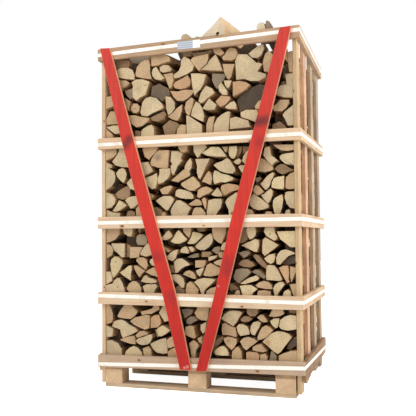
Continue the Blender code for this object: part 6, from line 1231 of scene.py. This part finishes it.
# how far a log departs from a straight, clean bar: lengths in mm, the rest as shares of its outline
logDetail = {
    "keep": 0.982,
    "inset": 1.0,
    "measuredKeep": 1.03,
    "leastKeep": 0.3,
    "wander": 0.022,
    "roundSwell": (0.94, 1.04),
    "arcSwell": (0.97, 1.02),
    "barkBulge": 1.09,
    "swell": (0.985, 1.03),
    "sideWander": 1.8,
    "leanX": 4,
    "leanZ": 3,
    "tilt": 0.05,
    "arrisIn": 1.6,
    "arrisBack": 1.5,
    "leastReach": 25.0,
    "frontMost": 22.4,
    "grainShift": 40,
    # a measured outline is bark where it bends gently, in degrees; its pith lies towards the sharpest corner
    "barkBends": (6.0, 46.0),
    "pithReach": 1.15,
    "smoothAngle": 34,
}


def between(a, b, count):
    steps = [i / (count + 1) for i in range(1, count + 1)]
    return [(a[0] + (b[0] - a[0]) * step, a[1] + (b[1] - a[1]) * step) for step in steps]


def swollen(points, rng, scales):
    out = []
    for x, z in points:
        scale = rng.uniform(*scales)
        out.append((x * scale, z * scale))
    return out


def middleOf(points):
    return sum(p[0] for p in points) / len(points), sum(p[1] for p in points) / len(points)


def roughOutline(log, rng):
    form = log["form"]
    if form == "measured":
        return measuredOutline(log["points"])
    if form == "round":
        points = swollen(formOutline(form, corners // 2), rng, logDetail["roundSwell"])
        kinds = ["bark"] * corners
    elif "spots" in logForms[form]:
        ends = formOutline(form, 1)
        extra = corners // len(ends) - 1
        points, kinds = [], []
        for i, a in enumerate(ends):
            middle = between(a, ends[(i + 1) % len(ends)], extra)
            if i == 1:
                middle = [(x * logDetail["barkBulge"], z * logDetail["barkBulge"]) for x, z in middle]
            points += [a] + middle
            kinds += ["bark" if i == 1 else "split"] * (extra + 1)
    else:
        arcSteps = 5 if form == "trimmed" else 6
        base = formOutline(form, arcSteps)
        arc = swollen(base[:arcSteps + 1], rng, logDetail["arcSwell"])
        if form in ("slab", "half"):
            rest = between(arc[-1], arc[0], 5)
        elif form == "trimmed":
            a, b = base[arcSteps + 1:]
            rest = between(arc[-1], a, 1) + [a] + between(a, b, 2) + [b] + between(b, arc[0], 1)
        else:
            tip = base[-1]
            rest = between(arc[-1], tip, 2) + [tip] + between(tip, arc[0], 2)
        points = arc + rest
        kinds = ["bark"] * arcSteps + ["split"] * (corners - arcSteps)
    wander = logDetail["wander"]
    points = [(x + rng.uniform(-wander, wander), z + rng.uniform(-wander, wander)) for x, z in points]
    points = [(x + log["x"], z + log["z"]) for x, z in turnedOutline(log, points)]
    return points, kinds, (log["x"], log["z"])


def measuredOutline(spots):
    # the least corners are dropped and the longest sides halved until the outline has its twelve corners
    points = list(spots)
    while len(points) > corners:
        costs = []
        for i in range(len(points)):
            (ax, az), (bx, bz), (cx, cz) = points[i - 1], points[i], points[(i + 1) % len(points)]
            costs.append(abs((bx - ax) * (cz - az) - (cx - ax) * (bz - az)))
        points.pop(costs.index(min(costs)))
    while len(points) < corners:
        lengths = [math.dist(points[i], points[(i + 1) % len(points)]) for i in range(len(points))]
        longest = lengths.index(max(lengths))
        a, b = points[longest], points[(longest + 1) % len(points)]
        points.insert(longest + 1, ((a[0] + b[0]) / 2, (a[1] + b[1]) / 2))
    bends = []
    for i in range(corners):
        (ax, az), (bx, bz), (cx, cz) = points[i - 1], points[i], points[(i + 1) % corners]
        across = (bx - ax) * (cz - bz) - (bz - az) * (cx - bx)
        ahead = (bx - ax) * (cx - bx) + (bz - az) * (cz - bz)
        bends.append(abs(math.degrees(math.atan2(across, ahead))))
    least, most = logDetail["barkBends"]
    gentle = [least < bend < most for bend in bends]
    kinds = ["bark" if gentle[i] and gentle[(i + 1) % corners] else "split" for i in range(corners)]
    sharpX, sharpZ = points[bends.index(max(bends))]
    middleX, middleZ = middleOf(points)
    reach = logDetail["pithReach"]
    return points, kinds, (middleX + (sharpX - middleX) * reach, middleZ + (sharpZ - middleZ) * reach)


def outward(points, kinds):
    area = sum(a[0] * b[1] - b[0] * a[1] for a, b in zip(points, points[1:] + points[:1]))
    if area > 0:
        return points, kinds
    return points[::-1], kinds[-2::-1] + kinds[-1:]


def pulledIn(points, keepShare, inset):
    cx, cz = middleOf(points)
    out = []
    for x, z in points:
        reach = math.hypot(x - cx, z - cz)
        keep = max(logDetail["leastKeep"], keepShare - inset / reach)
        out.append((cx + (x - cx) * keep, cz + (z - cz) * keep))
    return out


# one log, modelled once: a bar with a fine arris at its sawn front end and two cuts along its length
logBar = {"cuts": (0.30, 0.68), "arris": 0.02}


def modelLogBar():
    bpy.ops.object.select_all(action="DESELECT")
    bpy.ops.mesh.primitive_cylinder_add(vertices=corners, radius=1.0, depth=1.0, end_fill_type="NGON",
                                        location=(0.0, 0.5, 0.0), rotation=(math.radians(90), 0.0, 0.0))
    bar = bpy.context.object
    bpy.ops.object.transform_apply(location=True, rotation=True, scale=True)
    bpy.ops.object.mode_set(mode="EDIT")
    for cut in logBar["cuts"]:
        bpy.ops.mesh.select_all(action="SELECT")
        bpy.ops.mesh.bisect(plane_co=(0.0, cut, 0.0), plane_no=(0.0, 1.0, 0.0))
    bpy.ops.mesh.select_mode(type="FACE")
    bpy.ops.mesh.select_all(action="DESELECT")
    bpy.ops.object.mode_set(mode="OBJECT")
    for face in bar.data.polygons:
        face.select = face.normal.y < -0.9
    bpy.ops.object.mode_set(mode="EDIT")
    bpy.ops.mesh.inset(thickness=logBar["arris"], depth=0.0)
    bpy.ops.transform.translate(value=(0.0, -logBar["arris"], 0.0))
    bpy.ops.object.mode_set(mode="OBJECT")
    shape = readLogBar(bar.data)
    bpy.data.objects.remove(bar, do_unlink=True)
    return shape


def readLogBar(mesh):
    # ring and corner of each vertex; each face is the end, or the side that starts at a corner
    rings = sorted({round(vert.co.y, 3) for vert in mesh.vertices})
    shape = {"rings": rings, "ring": [], "corner": [], "faces": [], "kind": []}
    for vert in mesh.vertices:
        shape["ring"].append(rings.index(round(vert.co.y, 3)))
        angle = math.atan2(vert.co.z, vert.co.x) / (2 * math.pi) * corners
        shape["corner"].append(int(round(angle)) % corners)
    for face in mesh.polygons:
        shape["faces"].append(list(face.vertices))
        around = sorted({shape["corner"][v] for v in face.vertices})
        if len(around) > 2:
            shape["kind"].append("end")
        else:
            a, b = around
            shape["kind"].append(b if (a, b) == (0, corners - 1) else a)
    return shape


def logRings(log, points, shape, rng, facing):
    start = log["start"]
    length = log["end"] - start
    tiltX, tiltZ = (rng.uniform(-1, 1) * logDetail["tilt"] for i in range(2))
    cx, cz = middleOf(points)
    leanX = rng.uniform(-logDetail["leanX"], logDetail["leanX"])
    leanZ = rng.uniform(-logDetail["leanZ"], logDetail["leanZ"])
    rings = []
    for ring, along in enumerate(shape["rings"]):
        share = max(0.0, along)
        swell = 1.0 if ring < 2 else rng.uniform(*logDetail["swell"])
        if ring == 0:
            reach = math.hypot(points[0][0] - cx, points[0][1] - cz)
            swell = 1.0 - logDetail["arrisIn"] / max(logDetail["leastReach"], reach)
        row = []
        for x, z in points:
            dx = (x - cx) * swell + leanX * share
            dz = (z - cz) * swell + leanZ * share
            y = start + length * share + (logDetail["arrisBack"] if ring == 1 else 0.0)
            if ring > 1:
                dx += rng.uniform(-1, 1) * logDetail["sideWander"]
                dz += rng.uniform(-1, 1) * logDetail["sideWander"]
            else:
                y += tiltX * (x - cx) + tiltZ * (z - cz)
                y = max(logDetail["frontMost"], y) if facing > 0 else y
            row.append((cx + dx, y, cz + dz))
        rings.append(row)
    return rings


def buildLogs(pieceName, logs, seed, facing):
    # all logs of a piece in one mesh; facing is 1 for sawn ends to the front and -1 for sawn ends to the back
    rng = random.Random(seed)
    shape = logShape
    verts, faces, slots, uvs, tones = [], [], [], [], []
    for log in logs:
        points, kinds, pith = log["outline"]
        points, kinds = outward(points, kinds)
        rings = logRings(log, points, shape, rng, facing)
        offset = len(verts)
        around = [0.0]
        for i in range(corners):
            around.append(around[-1] + math.dist(points[i], points[(i + 1) % corners]))
        spin = rng.uniform(0, 2 * math.pi)
        shift = rng.uniform(0, logDetail["grainShift"])
        for ring, corner in zip(shape["ring"], shape["corner"]):
            x, y, z = rings[ring][corner]
            if facing < 0:
                y = 2 * crate["middleY"] - y
            verts.append(metres(x + crate["middleX"], y, z))
        # a draw for every corner, of which the first is kept
        own = [rng.random() for vert in shape["ring"]][0]
        tones += [(*fromHex(log["hex"])[:3], own)] * len(shape["ring"])
        for face, kind in zip(shape["faces"], shape["kind"]):
            order = face if facing > 0 else face[::-1]
            faces.append([offset + v for v in order])
            slots.append(0 if kind == "end" else (1 if kinds[kind] == "split" else 2))
            for v in order:
                ring, corner = shape["ring"][v], shape["corner"][v]
                if kind == "end":
                    x, z = points[corner][0] - pith[0], points[corner][1] - pith[1]
                    uvs.append((x * math.cos(spin) - z * math.sin(spin)) * mm)
                    uvs.append((x * math.sin(spin) + z * math.cos(spin)) * mm)
                else:
                    s = around[corners] if (kind == corners - 1 and corner == 0) else around[corner]
                    uvs += [(s + shift) * mm, rings[ring][corner][1] * mm]
    mesh = bpy.data.meshes.new(pieceName)
    mesh.from_pydata(verts, [], faces)
    mesh.polygons.foreach_set("material_index", slots)
    layer = mesh.uv_layers.new(name="grain")
    layer.data.foreach_set("uv", uvs)
    tone = mesh.attributes.new("logTone", "FLOAT_COLOR", "POINT")
    tone.data.foreach_set("color", [c for colour in tones for c in colour])
    mesh.validate()
    piece = bpy.data.objects.new(pieceName, mesh)
    bpy.context.scene.collection.objects.link(piece)
    for material in logMaterials:
        mesh.materials.append(material)
    bpy.ops.object.select_all(action="DESELECT")
    piece.select_set(True)
    bpy.context.view_layer.objects.active = piece
    bpy.ops.object.shade_smooth_by_angle(angle=math.radians(logDetail["smoothAngle"]))
    return piece


# hornbeam: a hard, pale wood; sawn ends are matt and creamy, split faces stringy, bark thin and grey-brown
hornbeam = {
    "ringEvery": 12.0,  # mm; real rings are nearer 2 mm and would not show
    "sawEvery": 13.0,  # mm; real saw marks are finer
    "fibre": 3.2,
    "fibreStretch": 12.0,
    "splitHex": "#c59868",
    "splitDarkHex": "#6c5139",
    "barkHex": "#796653",
    "barkDarkHex": "#42372c",
}
# knots and stains on single ends: picture x and y, size in mm, softness and colour
endMarks = (
    (270, 234, 7, 0.3, "#6b4a30"), (189, 274.5, 5, 0.3, "#5f422b"),
    (118, 287, 6, 0.3, "#6b4a30"), (115.5, 262, 5, 0.4, "#8a6743"),
    (201, 264, 4, 0.3, "#7a583a"), (134.5, 108.5, 5, 0.3, "#7b5c3c"),
    (228, 340.5, 6, 0.4, "#8d6a47"), (158, 157.5, 17, 0.9, "#8d7767"),
    (145.5, 85, 8, 0.8, "#a98d6d"), (284, 82, 5, 0.3, "#6b4f37"),
    (268, 343, 12, 1.0, "#b48d63"),
)


def sawnEndMaterial():
    # creamy end grain: faint rings round the pith, saw marks across, soft clouds and fine flecks
    material, tree, shader = newMaterial("hornbeamSawnEnd", 0.82, 0.25)
    uv = addNode(tree, "UVMap", uv_map="grain").outputs[0]
    coords = addNode(tree, "TexCoord").outputs["Object"]
    tone = addNode(tree, "Attribute", attribute_name="logTone").outputs["Color"]
    sockets = {"Vector": uv, "Scale": waveScale(hornbeam["ringEvery"]), "Distortion": 1.2, "Detail": 2.0,
               "Detail Scale": 2.0}
    rings = addNode(tree, "TexWave", sockets, wave_type="RINGS", rings_direction="Z")
    sockets = {"Vector": uv, "Scale": waveScale(hornbeam["sawEvery"]), "Distortion": 1.0, "Detail": 2.0,
               "Detail Scale": 3.0}
    saw = addNode(tree, "TexWave", sockets, bands_direction="X")
    cloud = addNode(tree, "TexNoise", {"Vector": coords, "Scale": 14.0, "Detail": 3.0, "Roughness": 0.6})
    fleck = addNode(tree, "TexNoise", {"Vector": coords, "Scale": 95.0, "Detail": 3.0, "Roughness": 0.7})
    # each pattern, and how far it darkens and lightens the wood
    patterns = ((rings, 0.93, 1.03), (saw, 0.92, 1.0), (cloud, 0.78, 1.16), (fleck, 0.78, 1.16))
    gain = 1.0
    for pattern, low, high in patterns:
        share = addNode(tree, "MapRange", {"Value": pattern.outputs["Fac"], "From Min": 0.2, "From Max": 0.8,
                                           "To Min": low, "To Max": high})
        gain = addNode(tree, "Math", {0: gain, 1: share.outputs[0]}, operation="MULTIPLY").outputs[0]
    colour = addNode(tree, "VectorMath", {0: tone, "Scale": gain}, operation="SCALE").outputs[0]
    for pictureX, pictureY, size, soft, hexText in endMarks:
        x, z = onLogEnds(pictureX, pictureY)
        radius = size * mm
        wobble = cloud.outputs["Fac"]
        away = fromSpot(tree, coords, (x * mm, 0.0, z * mm), (1.0, 0.0, 1.0), wobble, radius)
        colour = paintSpot(tree, colour, away, radius * 0.9, radius * (1.3 + soft), 0.85, fromHex(hexText))
    height = addNode(tree, "Math", {0: fleck.outputs["Fac"], 1: saw.outputs["Fac"]}, operation="ADD")
    bump = addNode(tree, "Bump", {"Height": height.outputs[0], "Strength": 0.35, "Distance": 0.0012})
    linkSurface(tree, shader, colour, bump)
    return material


def splitFaceMaterial(name, lightHex, darkHex, toneShare):
    # split wood: long strings of light and dark fibre with patches of light and shade
    material, tree, shader = newMaterial(name, 0.85, 0.2)
    uv = addNode(tree, "UVMap", uv_map="grain").outputs[0]
    tone = addNode(tree, "Attribute", attribute_name="logTone").outputs["Color"]
    stretch = (1000.0 / hornbeam["fibre"], hornbeam["fibreStretch"], 1.0)
    stretched = addNode(tree, "Mapping", {"Vector": uv, "Scale": stretch})
    strings = {"Vector": stretched.outputs[0], "Scale": 1.0, "Detail": 4.0, "Roughness": 0.65}
    fibre = addNode(tree, "TexNoise", strings, noise_dimensions="2D").outputs["Fac"]
    coords = addNode(tree, "TexCoord").outputs["Object"]
    patch = addNode(tree, "TexNoise", {"Vector": coords, "Scale": 11.0, "Detail": 3.0})
    wood = addNode(tree, "ValToRGB", {"Fac": fibre}, stops=[(0.28, darkHex), (0.62, lightHex)])
    mixed = addNode(tree, "Mix", {0: toneShare, 6: wood.outputs["Color"], 7: tone}, data_type="RGBA")
    level = addNode(tree, "MapRange", {"Value": patch.outputs["Fac"], "From Min": 0.3, "From Max": 0.7,
                                       "To Min": 0.8, "To Max": 1.1})
    colour = addNode(tree, "VectorMath", {0: mixed.outputs[2], "Scale": level.outputs[0]}, operation="SCALE")
    bump = addNode(tree, "Bump", {"Height": fibre, "Strength": 0.6, "Distance": 0.002})
    linkSurface(tree, shader, colour.outputs[0], bump)
    return material


def barkMaterial():
    # thin grey-brown bark with shallow ridges along the log
    material, tree, shader = newMaterial("hornbeamBark", 0.9, 0.2)
    coords = addNode(tree, "TexCoord").outputs["Object"]
    ridged = addNode(tree, "Mapping", {"Vector": coords, "Scale": (70.0, 14.0, 70.0)}).outputs[0]
    plates = addNode(tree, "TexNoise", {"Vector": ridged, "Scale": 1.0, "Detail": 5.0, "Roughness": 0.7})
    browns = [(0.3, hornbeam["barkDarkHex"]), (0.7, hornbeam["barkHex"])]
    shade = addNode(tree, "ValToRGB", {"Fac": plates.outputs["Fac"]}, stops=browns)
    bump = addNode(tree, "Bump", {"Height": plates.outputs["Fac"], "Strength": 0.8, "Distance": 0.004})
    linkSurface(tree, shader, shade.outputs["Color"], bump)
    return material


logMaterials = [
    sawnEndMaterial(),
    splitFaceMaterial("hornbeamSplitFace", hornbeam["splitHex"], hornbeam["splitDarkHex"], 0.18),
    barkMaterial(),
]
logShape = modelLogBar()

# tones of the sawn ends, as sRGB: most are pale straw; dark and brown are partly the wood's own tone and
# partly painted shade, for ends that sit in shadow deep in the stack or under the rails
endTones = {
    "pale": "#cfb994",
    "straw": "#d5c096",
    "tan": "#c3a47e",
    "orange": "#c39d77",
    "brown": "#937657",
    "grey": "#93836d",
    "dark": "#54473a",
    "hazy": "#bdb19c",
}
toneShares = {"pale": 46, "straw": 16, "tan": 20, "orange": 7, "brown": 5, "grey": 5, "dark": 1}
# how deep each log stands, in mm: dark ends further back, and a few of the others too
depths = {
    "setback": 11.0,
    "darkSetback": 16.0,
    "fewShare": 0.12,
    "fewSetback": (8.0, 34.0),
    "shortBy": 12.0,
    "deepShortBy": 8.0,
}
toneMix = 0.25  # how much of another tone may be mixed in


def hexBetween(a, b, share):
    pairs = zip(hexChannels(a), hexChannels(b))
    return "#" + "".join("%02x" % int(round(p + (q - p) * share)) for p, q in pairs)


def buildRow(row):
    settings = stack["rows"][row]
    logs = stackLogs(row)
    # the looks and the shaping of the logs have seeds of their own, 100 and 200 on from the stacking's
    rng = random.Random(settings["seed"] + 100)
    names = list(toneShares)
    for log in logs:
        points, kinds, pith = roughOutline(log, rng)
        measured = log["form"] == "measured"
        if measured:
            points = pulledIn(points, logDetail["measuredKeep"], 0.0)
        else:
            points = pulledIn(points, logDetail["keep"], logDetail["inset"])
        log["outline"] = (points, kinds, pith)
        tone = log.get("tone") or rng.choices(names, list(toneShares.values()))[0]
        other = rng.choice(("pale", "tan", "straw"))
        log["hex"] = hexBetween(endTones[tone], endTones[other], rng.uniform(0.0, toneMix))
        setback = rng.uniform(0.0, depths["setback"])
        if measured and tone in ("dark", "grey", "brown"):
            setback += depths["darkSetback"]
        elif not measured and rng.random() < depths["fewShare"]:
            setback += rng.uniform(*depths["fewSetback"])
        if "start" in log:
            log["end"] = shortLogs.get(log["name"], settings["end"] - depths["deepShortBy"])
        elif log.get("name") in shortLogs:
            log["start"] = settings["start"] + setback
            log["end"] = shortLogs[log["name"]]
        elif row == "back":
            # the back row's sawn front is turned to the rear of the crate
            log["start"] = 2 * crate["middleY"] - settings["end"] + setback
            log["end"] = 2 * crate["middleY"] - settings["start"] - rng.uniform(0.0, depths["shortBy"])
        else:
            log["start"] = settings["start"] + setback
            log["end"] = settings["end"] - rng.uniform(0.0, depths["shortBy"])
    piece = buildLogs("splitLogs_" + row, logs, settings["seed"] + 200, -1 if row == "back" else 1)
    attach(piece, "root")
    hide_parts("logs_" + row)
    print("row", row, "logs", len(logs), "faces", len(piece.data.polygons))


for rowName in stack["rows"]:
    buildRow(rowName)

# two loose logs on top, turned and dipped about their tips; lengths in mm, turns in degrees; each part, the
# main one first, has its hex, front end and outline in x from the middle and z; the rest are shorter
looseLogs = {
    "wedge": {
        "seed": 303,
        "tip": (137.5, 58.0, 2073.0),
        "turn": 16.5,
        "dip": 8.1,
        "length": 234.0,
        "partShare": 0.06,
        "parts": (
            ("#e6d3b6", 58.0, (
                (137.5, 2072.2), (104, 2040), (66, 2010), (24, 1983.5), (10, 1966), (21, 1937.5),
                (100, 1938), (180.5, 1937.5), (175, 1972), (163, 2005), (151, 2040),
            )),
            ("#2e1c12", 54.6, (
                (119, 1972), (126, 1962), (139, 1964), (144, 1974), (136, 1981), (125, 1980),
            )),
            ("#d9a070", 55.0, (
                (146, 1968), (156, 1984), (174, 1980), (178, 1950), (150, 1948),
            )),
        ),
        "sideHex": "#dfc39c",
        "grainHex": "#dcae7a",
    },
    "stump": {
        "seed": 302,
        "tip": (352.0, 34.0, 1900.0),
        "turn": 0.0,
        "dip": -10.0,
        "length": 115.0,
        "partShare": 0.4,
        "parts": (
            ("#e9d5b5", 34.4, (
                (353, 1903), (353, 1957), (356, 1983), (367, 1996), (383, 2001),
                (397, 1992), (402, 1975), (401, 1940), (395, 1896),
            )),
            ("#9c8a77", 36.0, (
                (403, 1988), (407, 2006.5), (417, 2005.5), (431, 1976), (438.5, 1952),
                (424, 1929), (398, 1898), (404, 1945), (405, 1975),
            )),
        ),
        "sideHex": "#8d7a66",
        "grainHex": "#5f5044",
    },
}


def buildLooseLog(name, loose):
    logs = []
    tipX, tipY, tipZ = loose["tip"]
    for hexText, start, points in loose["parts"]:
        deep = loose["length"] * (loose["partShare"] if logs else 1.0)
        logs.append({"outline": measuredOutline(points), "hex": hexText, "start": start, "end": tipY + deep})
    piece = buildLogs("splitLog_" + name, logs, loose["seed"], 1)
    tip = metres(tipX + crate["middleX"], tipY, tipZ)
    turn = Matrix.Rotation(math.radians(-loose["turn"]), 4, "Z")
    dip = Matrix.Rotation(math.radians(-loose["dip"]), 4, "X")
    piece.data.transform(Matrix.Translation(tip) @ turn @ dip @ Matrix.Translation(-tip))
    # freshly split faces are lighter than the others, and the stump's are weathered
    fresh = splitFaceMaterial("hornbeamFreshSplit_" + name, loose["sideHex"], loose["grainHex"], 0.1)
    piece.data.materials[1] = fresh
    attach(piece, "root")
    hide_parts("loose_log_" + name)


for looseName, looseLog in looseLogs.items():
    buildLooseLog(looseName, looseLog)
print("loose logs built")
